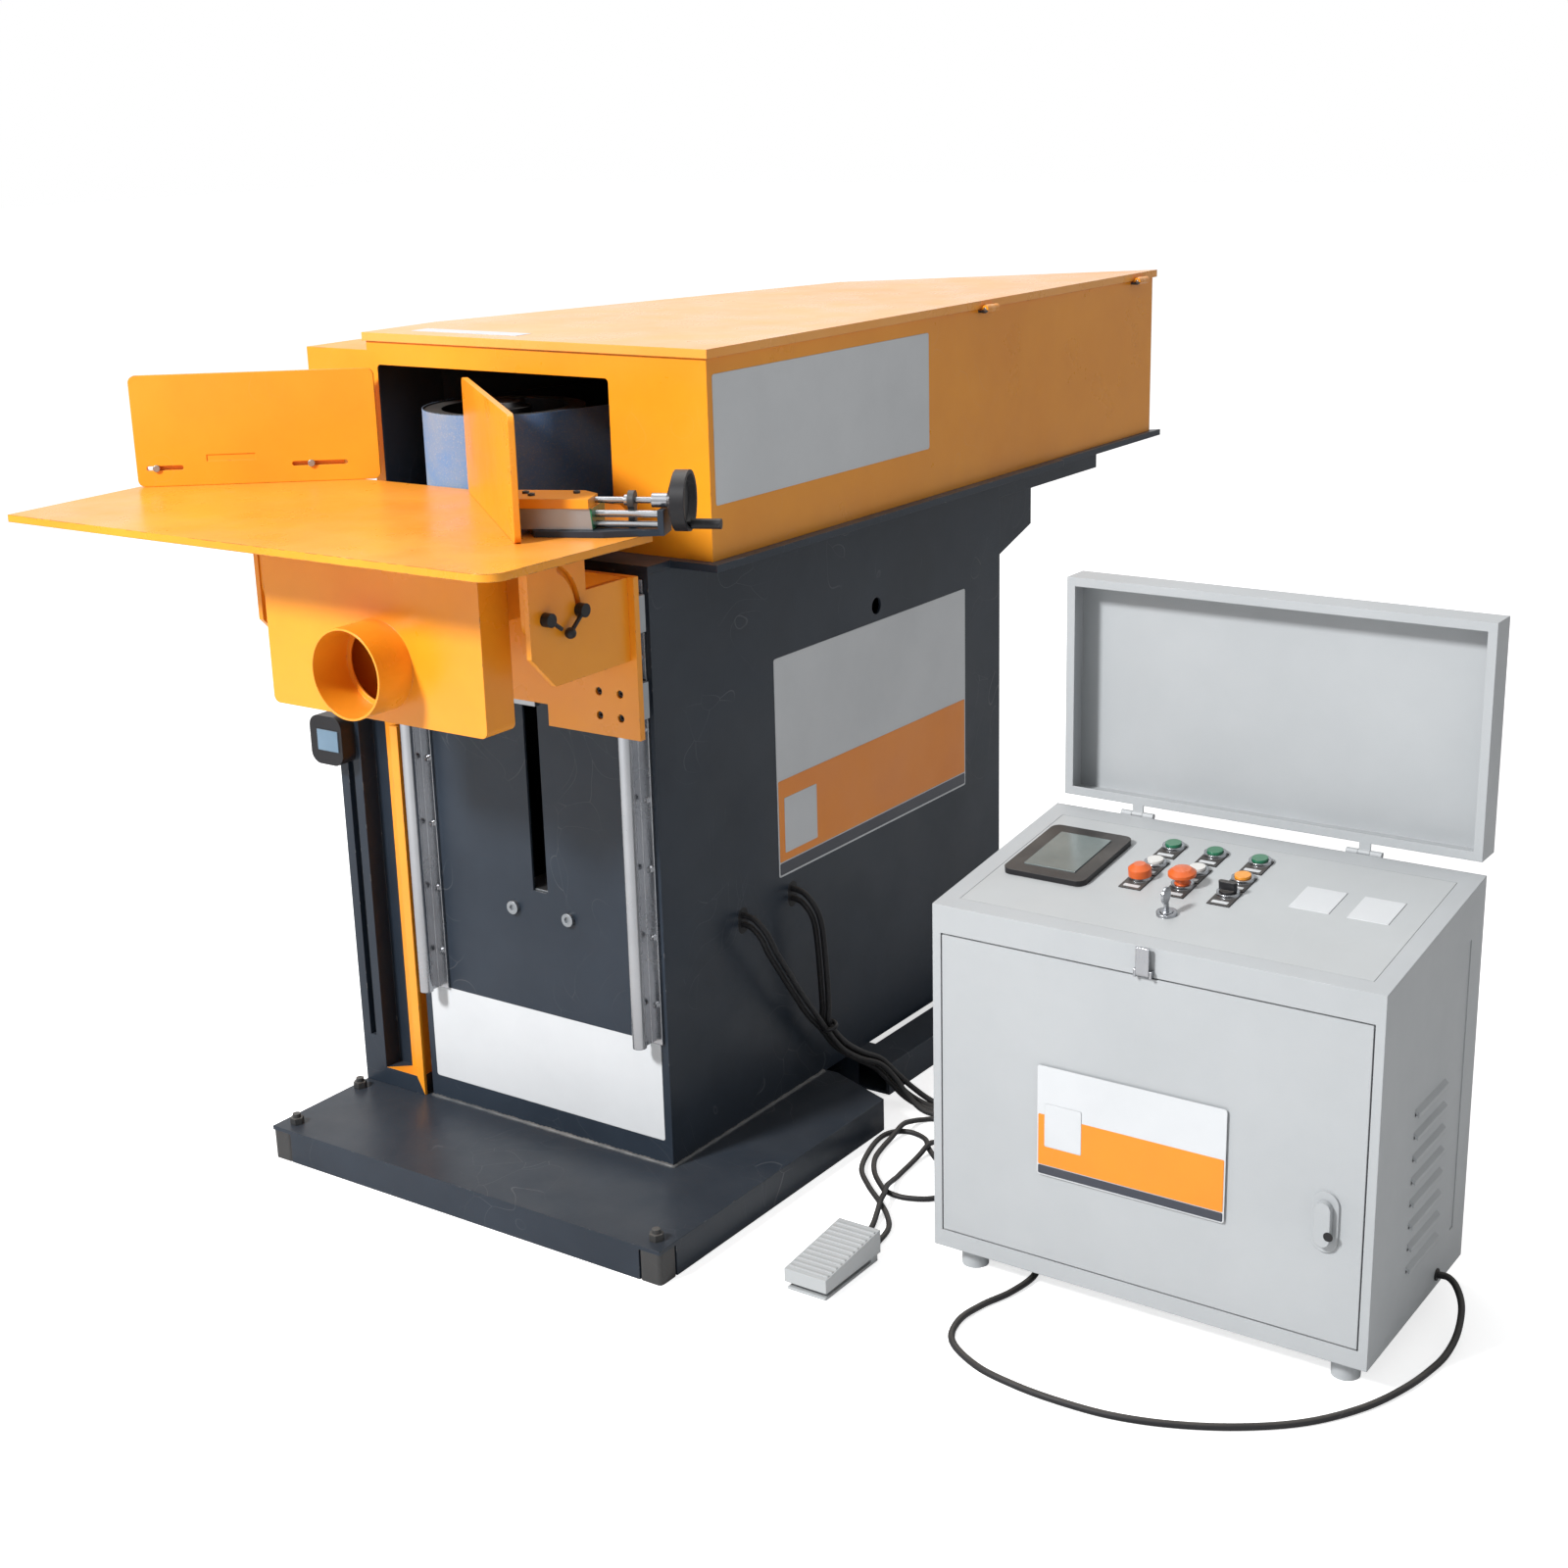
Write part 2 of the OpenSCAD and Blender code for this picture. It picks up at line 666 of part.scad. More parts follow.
motor_shaft_low = shelf_top - shelf_t - 50;
module motor_pulley() color(steel) translate([motor_x, motor_y, 0]) {
    bar_z([0, 0, motor_shaft_low + cut], motor_shaft_r, pulley_low + pulley_h - motor_shaft_low);
    translate([0, 0, pulley_low]) pulley();
}
module v_belt() color(black) translate([0, 0, vbelt_low]) linear_extrude(vbelt_h) difference() {
    loop_2d([motor_x, motor_y], wheel_b, vbelt_out_r);
    loop_2d([motor_x, motor_y], wheel_b, vbelt_in_r);
}

// Drive motor under its shelf, and the lift's gear motor behind the column's front
motor_r = 100;
motor_body_h = 280;
motor_flange_r = 118;
motor_flange_h = 12;
motor_fin_count = 9;
motor_fin_gap = 6;
motor_fin_d = 10;
terminal_box = [70, 50, 90];
gear_w = 90;
gear_h = 80;
gear_top = slot_low + 2;
lift_motor_r = 40;
lift_motor_h = 150;
ear_h = 32;
ear_t = 8;
ear_w = 124;
bolt_head_r = 10;
bolt_head_h = 6;
gear_bore_r = 8;
module motors() {
    color("steelblue") translate([motor_x, motor_y, shelf_top - shelf_t]) difference() {
        union() {
            bar_z([0, 0, -motor_flange_h], motor_flange_r, motor_flange_h);
            bar_z([0, 0, -motor_flange_h], motor_spigot_r, motor_flange_h + shelf_t / 2);
            difference() {
                bar_z([0, 0, -motor_flange_h - motor_body_h], motor_r, motor_body_h);
                for (i = [1:motor_fin_count]) translate([0, 0, -motor_flange_h
                    - motor_body_h * i / (motor_fin_count + 1)]) difference() {
                        cylinder(r = motor_r + cut, h = motor_fin_gap);
                        translate([0, 0, -cut]) cylinder(r = motor_r - motor_fin_d,
                            h = motor_fin_gap + 2 * cut);
                    }
            }
            block([-motor_r - terminal_box[0] / 2, -terminal_box[1] / 2,
                -motor_flange_h - motor_body_h / 2],
                [motor_r, terminal_box[1], terminal_box[2]]);
        }
        bar_z([0, 0, motor_shaft_low - shelf_top + shelf_t], motor_shaft_r + run_fit,
            shelf_top - motor_shaft_low);
    }
    color(steel) difference() {
        union() {
            block([slot_x - gear_w / 2, column_front + column_wall, gear_top - gear_h],
                [gear_w, gear_w, gear_h]);
            block([slot_x - ear_w / 2, column_front + column_wall, lift_bolt_z - ear_h / 2],
                [ear_w, ear_t, ear_h]);
            bar_z([slot_x, lift_screw_y, gear_top - gear_h - lift_motor_h], lift_motor_r,
                lift_motor_h);
        }
        bar_z([slot_x, lift_screw_y, gear_top - gear_h / 2], gear_bore_r + run_fit, gear_h);
    }
    color(steel) for (s = [-1, 1]) translate([slot_x + s * lift_bolt_gap / 2, column_front,
        lift_bolt_z]) rotate([90, 0, 0]) {
            socket_head(bolt_head_r, bolt_head_h, bolt_head_r / 2);
            translate([0, 0, -column_wall]) cylinder(r = lift_bolt_r, h = column_wall);
        }
}

// Lift screw: journals at both ends and the threaded length between them
lift_screw_low = gear_top + 2;
thread_depth = 1.5;
thread_pitch = 5;
module lift_screw() color(steel) translate([slot_x, lift_screw_y, 0]) {
    bar_z([0, 0, gear_top - gear_h / 2 + cut], gear_bore_r, gear_h / 2 + cut);
    bar_z([0, 0, lift_screw_low], lift_screw_dia / 2, top_bearing_z - cut - lift_screw_low);
    bar_z([0, 0, top_bearing_z - 2 * cut], journal_r, top_bearing_t + 2 * cut + shaft_rise);
}

// Carriage plate: a wide plate with a tab over each rail
plate_back = rail_axis_y - 18;
plate_front = plate_back - carriage_t;
carriage_low = carriage_top - carriage_h;
tab_w = 158;
tab_rise = 30;
block_len = 50;
block_w = 60;
block_rail_gap = 1;
block_d = column_front - rail_base_t - rail_screw_h - block_rail_gap - plate_back;
block_zs = [743.5, 862];
block_bolt_x = 18;
block_bolt_z = 16.5;
bolt_hole_r = 5.5;
carriage_pts = [[-carriage_w / 2, carriage_low], [-carriage_w / 2 + tab_w, carriage_low],
    [-carriage_w / 2 + tab_w, carriage_low + tab_rise],
    [carriage_w / 2 - tab_w, carriage_low + tab_rise], [carriage_w / 2 - tab_w, carriage_low],
    [carriage_w / 2, carriage_low], [carriage_w / 2, carriage_top],
    [-carriage_w / 2, carriage_top]];
module each_block_bolt() for (s = [-1, 1], z = block_zs, x = [-block_bolt_x, block_bolt_x],
    dz = [-block_bolt_z, block_bolt_z]) translate([s * rail_x + x, 0, z + dz]) children();
module carriage_plate() color(orange) difference() {
    plate_xz(plate_front, carriage_t) polygon(carriage_pts);
    each_block_bolt() bar_y([0, plate_front - cut, 0], bolt_hole_r, carriage_t + 2 * cut);
}

// Four open bearing blocks that run on the rail shafts
block_slot_w = 13;
block_bolt_r = 3;
block_bolt_deep = 12;
module carriage_blocks() color(steel) difference() {
    for (s = [-1, 1], z = block_zs) difference() {
        block([s * rail_x - block_w / 2, plate_back, z - block_len / 2],
            [block_w, block_d, block_len]);
        bar_z([s * rail_x, rail_axis_y, z - block_len], rail_r + run_fit, 2 * block_len);
        block([s * rail_x - block_slot_w / 2, rail_axis_y, z - block_len],
            [block_slot_w, block_d, 2 * block_len]);
    }
    each_block_bolt() bar_y([0, plate_back - cut, 0], block_bolt_r, block_bolt_deep + cut);
}

// Gussets that carry the table, each with the pivot hole and the arc slot
gusset_out = 242;
gusset_in = gusset_out - gusset_t;
gusset_reach = 194;
gusset_toe = 43;
gusset_toe_z = 851;
gusset_low_z = 808;
gusset_step_z = 919;
gusset_top_z = 965;
lug_back = 84;
pivot_y = plate_front - 166;
pivot_bolt_r = 6;
arc_half_w = 5;
arc_low = -5;
arc_high = 60;
gusset_front = plate_front - gusset_reach;
gusset_pts = [[gusset_front, gusset_toe_z], [gusset_front + gusset_toe, gusset_low_z],
    [plate_front, gusset_low_z], [plate_front, gusset_step_z],
    [plate_front - lug_back, gusset_step_z], [plate_front - lug_back, gusset_top_z],
    [gusset_front, gusset_top_z]];
module arc_slot_2d() {
    sector_r = 2 * arc_r;
    intersection() {
        difference() {
            circle(arc_r + arc_half_w);
            circle(arc_r - arc_half_w);
        }
        polygon([[0, 0], sector_r * [cos(arc_low), sin(arc_low)],
            sector_r * [cos(arc_high), sin(arc_high)]]);
    }
    for (a = [arc_low, arc_high]) translate(arc_r * [cos(a), sin(a)]) circle(arc_half_w);
}
module gussets() color(orange) for (s = [0, 1]) mirror([s, 0, 0])
    plate_yz(gusset_in, gusset_t) difference() {
        polygon(gusset_pts);
        translate([pivot_y, pivot_z]) {
            circle(pivot_bolt_r);
            arc_slot_2d();
        }
    }

// Lift nut on its arm, which reaches through the column's slot
nut_w = 60;
nut_h = 40;
nut_z = 760;
arm_w = 24;
arm_h = 50;
nut_flange_w = 100;
nut_flange_h = 80;
nut_flange_t = 10;
nut_wall_gap = 12;
module lift_nut() color(steel) difference() {
    union() {
        block([slot_x - nut_w / 2, column_front + column_wall + nut_wall_gap, nut_z - nut_h / 2],
            [nut_w, 2 * (lift_screw_y - column_front - column_wall - nut_wall_gap), nut_h]);
        block([slot_x - arm_w / 2, plate_back, nut_z - arm_h / 2],
            [arm_w, column_front + column_wall + 2 * nut_wall_gap - plate_back, arm_h]);
        block([slot_x - nut_flange_w / 2, plate_back, nut_z - nut_flange_h / 2],
            [nut_flange_w, nut_flange_t, nut_flange_h]);
    }
    bar_z([slot_x, lift_screw_y, nut_z - nut_h], lift_screw_dia / 2 + run_fit, 2 * nut_h);
}

// Dust hopper: a shallow box with a round outlet, and a throat back to the carriage plate
hopper_front = plate_front - 227;
hopper_d = 53;
hopper_low = 750;
hopper_top = 955;
hopper_wall = 2.5;
hopper_round = 10;
throat_w = 250;
throat_low = 870;
duct_x = 10;
duct_z = 825;
duct_wall = 3;
duct_hole_r = 50;
module hopper_body(t) {
    plate_xz(hopper_front + t, hopper_d - 2 * t) translate([-hopper_w / 2 + t, hopper_low + t])
        round_rect(hopper_w - 2 * t, hopper_top - hopper_low - t + (t > 0 ? 2 * hopper_round : 0),
            hopper_round - t);
    block([-throat_w / 2 + t, hopper_front + hopper_d / 2, throat_low + t],
        [throat_w - 2 * t, plate_front - hopper_front - hopper_d / 2 - t,
            hopper_top - throat_low - t + (t > 0 ? cut : 0)]);
}
module dust_hopper() color(orange) difference() {
    union() {
        hopper_body(0);
        block([-hopper_w / 2, hopper_front, hopper_top - hopper_round],
            [hopper_w, hopper_d, hopper_round]);
        bar_y([duct_x, hopper_front - duct_len, duct_z], duct_dia / 2, duct_len);
    }
    hopper_body(hopper_wall);
    bar_y([duct_x, hopper_front - duct_len - cut, duct_z], duct_dia / 2 - duct_wall,
        duct_len + cut);
    bar_y([duct_x, hopper_front - cut, duct_z], duct_hole_r, 2 * hopper_wall);
}

// Screws of the blocks, and the two pivot bolts of the table
screw_head_h = 7;
screw_head_r = 5;
pivot_head_r = 10;
pivot_head_h = 8;
pivot_end = 9;
lug_t = 8;
lug_out = gusset_in - gap;
lug_in = lug_out - lug_t;
module carriage_bolts() color(black) {
    each_block_bolt() translate([0, plate_back, 0]) rotate([90, 0, 0]) {
        socket_head(screw_head_r, screw_head_h, screw_head_r / 2);
        translate([0, 0, -block_bolt_deep]) cylinder(r = block_bolt_r, h = block_bolt_deep);
    }
    for (s = [0, 1]) mirror([s, 0, 0]) {
        bar_x([lug_in - gap - pivot_head_h, pivot_y, pivot_z], pivot_head_r, pivot_head_h);
        bar_x([lug_in - gap - pivot_head_h, pivot_y, pivot_z], pivot_bolt_r,
            gusset_out - lug_in + gap + pivot_head_h + pivot_end);
    }
}

// Places of the table and the fences
table_front = plate_front - 352;
table_low_z = table_top_z - table_t;
table_left = -542;
table_right = 327;
table_round = 30;
table_back = column_front + 29;
table_right_back = [334, -585];
table_back_right = 168;
left_fence_end = [-553, -643];
left_fence_angle = 38.4;
fence_gap = gap;
fence_low = table_top_z + fence_gap;
fence_round = 10;
left_along = [cos(left_fence_angle), sin(left_fence_angle)];
left_across = left_normal(left_along);
table_edge_a = left_fence_end + (fence_t + gap) * left_across;
table_edge_b = table_edge_a + (table_back - table_edge_a[1]) / left_along[1] * left_along;
module table_top() color(orange) translate([0, 0, table_low_z]) linear_extrude(table_t) {
    polygon([[table_left, table_front], [table_right - table_round, table_front],
        [table_right, table_front + table_round], table_right_back,
        [table_back_right, table_back], table_edge_b, table_edge_a]);
    translate([table_right - table_round, table_front + table_round]) circle(table_round);
}

// Lugs under the table with the clamp studs, and the plate behind the left fence
lug_pivot_r = 26;
lug_stud_r = 15;
stud_r = 4.7;
stud_end = 9;
fence_plate_start = 24;
fence_plate_len = 270;
fence_plate_t = 6;
fence_plate_h = 60;
fence_slot_w = 6.4;
fence_slot_z = 26;
fence_slots = [[40, 52], [260, 79]];
fence_screw_r = 3;
fence_screw_head_r = 5;
fence_screw_head_h = 3;
fence_screw_shift = -12;
module in_left_fence() translate([left_fence_end[0], left_fence_end[1], 0])
    rotate(left_fence_angle) children();
module table_brackets() color(orange) {
    for (s = [0, 1]) mirror([s, 0, 0]) {
        difference() {
            plate_yz(lug_in, lug_t) {
                translate([pivot_y, pivot_z]) {
                    circle(lug_pivot_r);
                    translate([arc_r, 0]) circle(lug_stud_r);
                    translate([-lug_pivot_r, 0])
                        square([lug_pivot_r + arc_r + lug_stud_r, table_low_z - pivot_z]);
                }
            }
            bar_x([lug_in - cut, pivot_y, pivot_z], pivot_bolt_r + run_fit, lug_t + 2 * cut);
        }
        bar_x([lug_in - pivot_head_h, pivot_y + arc_r, pivot_z], stud_r + 2 * cut, pivot_head_h);
        bar_x([lug_in - pivot_head_h, pivot_y + arc_r, pivot_z], stud_r,
            gusset_out - lug_in + pivot_head_h + stud_end);
    }
    in_left_fence() {
        block([fence_plate_start, fence_t + gap, table_low_z],
            [fence_plate_len, fence_plate_t, fence_plate_h]);
        for (s = fence_slots) translate([s[0] + fence_screw_shift, fence_t + gap,
            fence_low + fence_slot_z]) rotate([90, 0, 0]) {
                cylinder(r = fence_screw_r, h = fence_t + 2 * gap);
                translate([0, 0, fence_t + 2 * gap])
                    cylinder(r = fence_screw_head_r, h = fence_screw_head_h);
            }
    }
}

// Clamp levers with ball knobs, one on the pivot and one on the stud in the arc slot
lever_hub_r = 9;
lever_hub_t = 12;
lever_wall = 3;
lever_rod_r = 2.8;
lever_rod_x = 8.5;
ball_r = 7.5;
pivot_lever_len = 26;
pivot_lever_turn = -36;
slot_lever_len = 37;
slot_lever_turn = 220;
module clamp_lever(bore, len, turn, ball) rotate([turn, 0, 0]) {
    difference() {
        union() {
            bar_x([0, 0, 0], lever_hub_r, lever_hub_t);
            bar_y([lever_rod_x, 0, 0], lever_rod_r, len);
            if (ball) translate([lever_rod_x, len, 0]) sphere(ball_r);
        }
        bar_x([-cut, 0, 0], bore, pivot_end + cut);
    }
}
module pivot_lever() color(black) translate([gusset_out + gap, pivot_y, pivot_z])
    clamp_lever(pivot_bolt_r + run_fit, pivot_lever_len, pivot_lever_turn, false);
module slot_lever() color(black) translate([gusset_out + gap, pivot_y + arc_r, pivot_z])
    clamp_lever(stud_r + run_fit, slot_lever_len, slot_lever_turn, true);

// Left fence with its two slots and a pressed panel between them
emboss = [100, 69, 9];
emboss_z = 34;
emboss_d = 1;
module left_fence() color(orange) in_left_fence() difference() {
    plate_xz(0, fence_t) translate([0, fence_low]) difference() {
        round_rect(left_fence_len, fence_h, fence_round);
        for (s = fence_slots) translate([s[0], fence_slot_z]) slot_2d(s[1], fence_slot_w);
    }
    block([emboss[0], -cut, fence_low + emboss_z], [emboss[1], emboss_d + cut, emboss[2]]);
}

// Right fence, carried by the slide
right_fence_end = [228, -721];
right_fence_angle = 140.1;
module in_right_fence() translate([right_fence_end[0], right_fence_end[1], 0])
    rotate(right_fence_angle) children();
module right_fence() color(orange) in_right_fence() plate_xz(-fence_t, fence_t)
    translate([0, fence_low]) round_rect(right_fence_len, fence_h, fence_round);

// Frame of the hand-wheel slide: X runs along its screw, from the fence to the wheel
slide_at = [155, -660];
module in_slide() translate([slide_at[0], slide_at[1], table_top_z]) rotate(slide_angle)
    children();
right_across = left_normal([cos(right_fence_angle), sin(right_fence_angle)]);
fence_face = right_fence_end - fence_t * right_across - slide_at;
face_turn = right_fence_angle - slide_angle;
face_x = fence_face[0] * cos(slide_angle) + fence_face[1] * sin(slide_angle);
face_y = fence_face[1] * cos(slide_angle) - fence_face[0] * sin(slide_angle);
function fence_s(v) = face_x + (v - face_y) / tan(face_turn);

// Fixed part of the slide: base casting, two guide rods, end block and screw bearing
slide_base_h = 8;
slide_base_half = 38;
slide_taper_x = 140;
slide_end_x = 213;
slide_travel = 20;
slide_clear = 4;
rod_v = -12;
rod_zs = [13, 26];
rod_start = 40;
guide_r = guide_dia / 2;
lead_z = 41;
lead_r = lead_dia / 2;
end_block_t = 8;
end_block_h = 31.5;
end_block_half = 20;
screw_bearing_x = 165;
screw_bearing_t = 8;
screw_bearing_r = 12;
screw_bearing_w = 14;
module slide_base() in_slide() {
    color(slate) difference() {
        union() {
            linear_extrude(slide_base_h) polygon([
                [fence_s(-slide_base_half) + slide_travel + slide_clear, -slide_base_half],
                [slide_taper_x, -slide_base_half], [slide_end_x, rod_v - guide_r - 2 * cut],
                [slide_end_x, slide_base_half / 2], [slide_taper_x, slide_base_half],
                [fence_s(slide_base_half) + slide_travel + slide_clear, slide_base_half]]);
            block([slide_end_x - end_block_t, -end_block_half, 0],
                [end_block_t, 2 * end_block_half, end_block_h]);
        }
        for (z = rod_zs) bar_x([rod_start, rod_v, z], guide_r, slide_end_x);
    }
    color(chrome) for (z = rod_zs) bar_x([rod_start, rod_v, z], guide_r, slide_end_x - rod_start);
    color(steel) difference() {
        union() {
            bar_x([screw_bearing_x, 0, lead_z], screw_bearing_r, screw_bearing_t);
            block([screw_bearing_x, rod_v + guide_r + cut / 2, slide_base_h],
                [screw_bearing_t, screw_bearing_w, lead_z - slide_base_h]);
        }
        bar_x([screw_bearing_x - cut, 0, lead_z], lead_r + run_fit, screw_bearing_t + 2 * cut);
    }
}

// Moving part of the slide: grey block on the rods, and the orange plate that holds the fence
slide_block_half = 30;
slide_block_low = slide_base_h + 0.4;
slide_block_top = 35;
slide_block_end = 125;
top_plate_half = 33;
top_plate_t = 12;
top_plate_end = 122;
top_plate_corner = 22;
slide_screw_r = 4.5;
slide_screw_h = 3;
slide_screws = [[30, 8], [42, -8], [95, 12]];
module slide_carriage() in_slide() {
    color(steel) difference() {
        translate([0, 0, slide_block_low]) linear_extrude(slide_block_top - slide_block_low)
            polygon([[fence_s(-slide_block_half), -slide_block_half],
                [slide_block_end, -slide_block_half], [slide_block_end, slide_block_half],
                [fence_s(slide_block_half), slide_block_half]]);
        for (z = rod_zs) bar_x([-slide_block_end, rod_v, z], guide_r + run_fit,
            3 * slide_block_end);
    }
    color(orange) difference() {
        translate([0, 0, slide_block_top]) linear_extrude(top_plate_t)
            polygon([[fence_s(-top_plate_half), -top_plate_half],
                [top_plate_end, -top_plate_half],
                [top_plate_end, top_plate_half - top_plate_corner],
                [top_plate_end - top_plate_corner, top_plate_half],
                [fence_s(top_plate_half), top_plate_half]]);
        bar_x([-slide_block_end, 0, lead_z], lead_r + run_fit, 3 * slide_block_end);
    }
    color(black) for (p = slide_screws) translate([p[0], p[1], slide_block_top + top_plate_t])
        socket_head(slide_screw_r, slide_screw_h, slide_screw_r / 2);
}

// Lead screw with its collar and hub, the hand wheel and the crank handle
lead_start = 45;
hub_x = slide_end_x - 18;
hub_len = 20;
hub_r = 9;
hub_collar_r = 7;
hub_collar_t = 5;
wheel_cone_x = hub_x + hub_len;
wheel_cone_len = 10;
wheel_rim_x = wheel_cone_x + wheel_cone_len;
wheel_rim_w = 18;
wheel_dish = 10;
crank_arm = 29;
crank_pin_r = 3;
crank_r = 6.5;
crank_len = 38;
module lead_screw() color(chrome) in_slide() translate([0, 0, lead_z]) {
    bar_x([lead_start, 0, 0], lead_r, wheel_cone_x + wheel_cone_len / 2 - lead_start);
    bar_x([screw_bearing_x - gap - hub_collar_t, 0, 0], hub_collar_r, hub_collar_t);
    bar_x([hub_x, 0, 0], hub_r, hub_len);
}
module hand_wheel() color(black) in_slide() translate([0, 0, lead_z]) {
    difference() {
        translate([wheel_cone_x, 0, 0]) rotate([0, 90, 0]) rotate_extrude() polygon([
            [0, 0], [hub_r + cut, 0], [hand_wheel_dia / 2, wheel_cone_len],
            [hand_wheel_dia / 2, wheel_cone_len + wheel_rim_w],
            [hand_wheel_dia / 2 - wheel_dish / 2, wheel_cone_len + wheel_rim_w],
            [hand_wheel_dia / 2 - wheel_dish, wheel_cone_len + wheel_dish],
            [0, wheel_cone_len + wheel_dish]]);
        bar_x([wheel_cone_x - cut, 0, 0], lead_r, wheel_cone_len / 2 + cut);
    }
    bar_x([wheel_rim_x + wheel_dish / 2, 0, -crank_arm], crank_pin_r,
        wheel_rim_w + crank_len - wheel_dish);
}
module crank_handle() color(black) in_slide() translate([0, 0, lead_z]) difference() {
    bar_x([wheel_rim_x + wheel_rim_w + gap, 0, -crank_arm], crank_r, crank_len);
    bar_x([wheel_rim_x + wheel_rim_w, 0, -crank_arm], crank_pin_r + run_fit,
        crank_len - wheel_dish / 2 + 2 * gap);
}

// Places of the control cabinet, whose low front left corner is at cabinet_at
cabinet_at = [646, -438];
cabinet_low = 35;
cabinet_back_y = cabinet_at[1] + cabinet_d;
cabinet_back_z = cabinet_front_z + cabinet_rise;
slope = atan2(cabinet_rise, cabinet_d);
door_side = 14;
door_low = 61;
door_top = 479;
door_gap = 2;
door_depth = 16;
door_sheet = 2.5;
door_pin = 4;
door_pin_r = 2.5;
door_pin_len = 10;
panel_x = 26;
panel_s = 27;
panel_w = 548;
panel_len = 279;
panel_t = 3;
panel_gap = 0.5;
lip_w = 10;
foot_r = 18;
foot_inset = 40;
louvre_y = 120;
louvre_w = 105;
louvre_slot_h = 5;
louvre_hood = 5;
louvre_count = 8;
louvre_low = 110;
louvre_pitch = 30;
groove_y = 282;
groove_w = 12;
groove_low = 95;
groove_h = 395;
side_hole = [240, 52];
side_hole_r = 8;
gland_z = 95;
gland_xs = [50, 90, 130, 190, 220];
gland_hole_r = 8;
lid_pin_back = 5.5;
lid_pin_up = 1;
lid_pin_r = 1.5;
lid_barrel_r = 4;
lid_barrel_len = 16;
cabinet_hinge_xs = [120, 440];
module in_panel() translate([cabinet_at[0], cabinet_at[1], cabinet_front_z])
    rotate([slope, 0, 0]) children();
function cabinet_profile(t) = inset([[cabinet_at[1], cabinet_low],
    [cabinet_back_y, cabinet_low], [cabinet_back_y, cabinet_back_z],
    [cabinet_at[1], cabinet_front_z]], t);
module cabinet_shell() color(pale_grey) {
    difference() {
        union() {
            difference() {
                plate_yz(cabinet_at[0], cabinet_w) polygon(cabinet_profile(0));
                plate_yz(cabinet_at[0] + cabinet_sheet, cabinet_w - 2 * cabinet_sheet)
                    polygon(cabinet_profile(cabinet_sheet));
            }
            in_panel() block([panel_x - lip_w, panel_s - lip_w, -cabinet_sheet - panel_t],
                [panel_w + 2 * lip_w, panel_len + 2 * lip_w, panel_t]);
        }
        in_panel() block([panel_x + lip_w, panel_s + lip_w, -2 * lip_w],
            [panel_w - 2 * lip_w, panel_len - 2 * lip_w, 3 * lip_w]);
        in_panel() block([panel_x - panel_gap, panel_s - panel_gap, -cabinet_sheet],
            [panel_w + 2 * panel_gap, panel_len + 2 * panel_gap, lip_w]);
        block([cabinet_at[0] + door_side - door_gap, cabinet_at[1] - cut, door_low - door_gap],
            [cabinet_w - 2 * door_side + 2 * door_gap, cabinet_sheet + 2 * cut,
                door_top - door_low + 2 * door_gap]);
        for (i = [0:louvre_count - 1])
            block([cabinet_at[0] + cabinet_w - cabinet_sheet - cut, cabinet_at[1] + louvre_y,
                louvre_low + i * louvre_pitch],
                [cabinet_sheet + 2 * cut, louvre_w, louvre_slot_h]);
        block([cabinet_at[0] + cabinet_w - cabinet_sheet / 2, cabinet_at[1] + groove_y,
            groove_low], [cabinet_sheet, groove_w, groove_h]);
        bar_x([cabinet_at[0] + cabinet_w - cabinet_sheet - cut, cabinet_at[1] + side_hole[0],
            side_hole[1]], side_hole_r, cabinet_sheet + 2 * cut);
        for (x = gland_xs) bar_y([cabinet_at[0] + x, cabinet_back_y - cabinet_sheet - cut,
            gland_z], gland_hole_r, cabinet_sheet + 2 * cut);
    }
    for (i = [0:louvre_count - 1]) translate([cabinet_at[0] + cabinet_w,
        cabinet_at[1] + louvre_y, louvre_low + i * louvre_pitch + louvre_slot_h])
            rotate([90, 0, 0]) mirror([0, 0, 1]) linear_extrude(louvre_w)
                polygon([[0, 0], [louvre_hood, -louvre_slot_h], [louvre_hood, 0],
                    [0, louvre_hood]]);
    for (x = [foot_inset, cabinet_w - foot_inset], y = [foot_inset, cabinet_d - foot_inset])
        bar_z([cabinet_at[0] + x, cabinet_at[1] + y, 0], foot_r, cabinet_low);
    for (z = [door_low - door_gap - door_sheet, door_top + door_gap])
        block([cabinet_at[0] + door_side - door_gap, cabinet_at[1] + cabinet_sheet / 2, z],
            [lip_w + door_gap, door_depth, door_sheet]);
    for (x = cabinet_hinge_xs, s = [-1, 1]) translate([cabinet_at[0] + x
        + s * lid_barrel_len - lid_barrel_len / 2 + gap / 2, 0, 0]) difference() {
            union() {
                bar_x([0, cabinet_back_y + lid_pin_back, cabinet_back_z + lid_pin_up],
                    lid_barrel_r, lid_barrel_len - gap);
                block([0, cabinet_back_y, cabinet_back_z + lid_pin_up - 3 * lid_barrel_r],
                    [lid_barrel_len - gap, lid_pin_back - cut, 2 * lid_barrel_r]);
                block([0, cabinet_back_y + cut, cabinet_back_z + lid_pin_up - 2 * lid_barrel_r],
                    [lid_barrel_len - gap, lid_pin_back, 2 * lid_barrel_r]);
            }
            bar_x([-cut, cabinet_back_y + lid_pin_back, cabinet_back_z + lid_pin_up],
                lid_pin_r, lid_barrel_len + 2 * cut);
        }
}

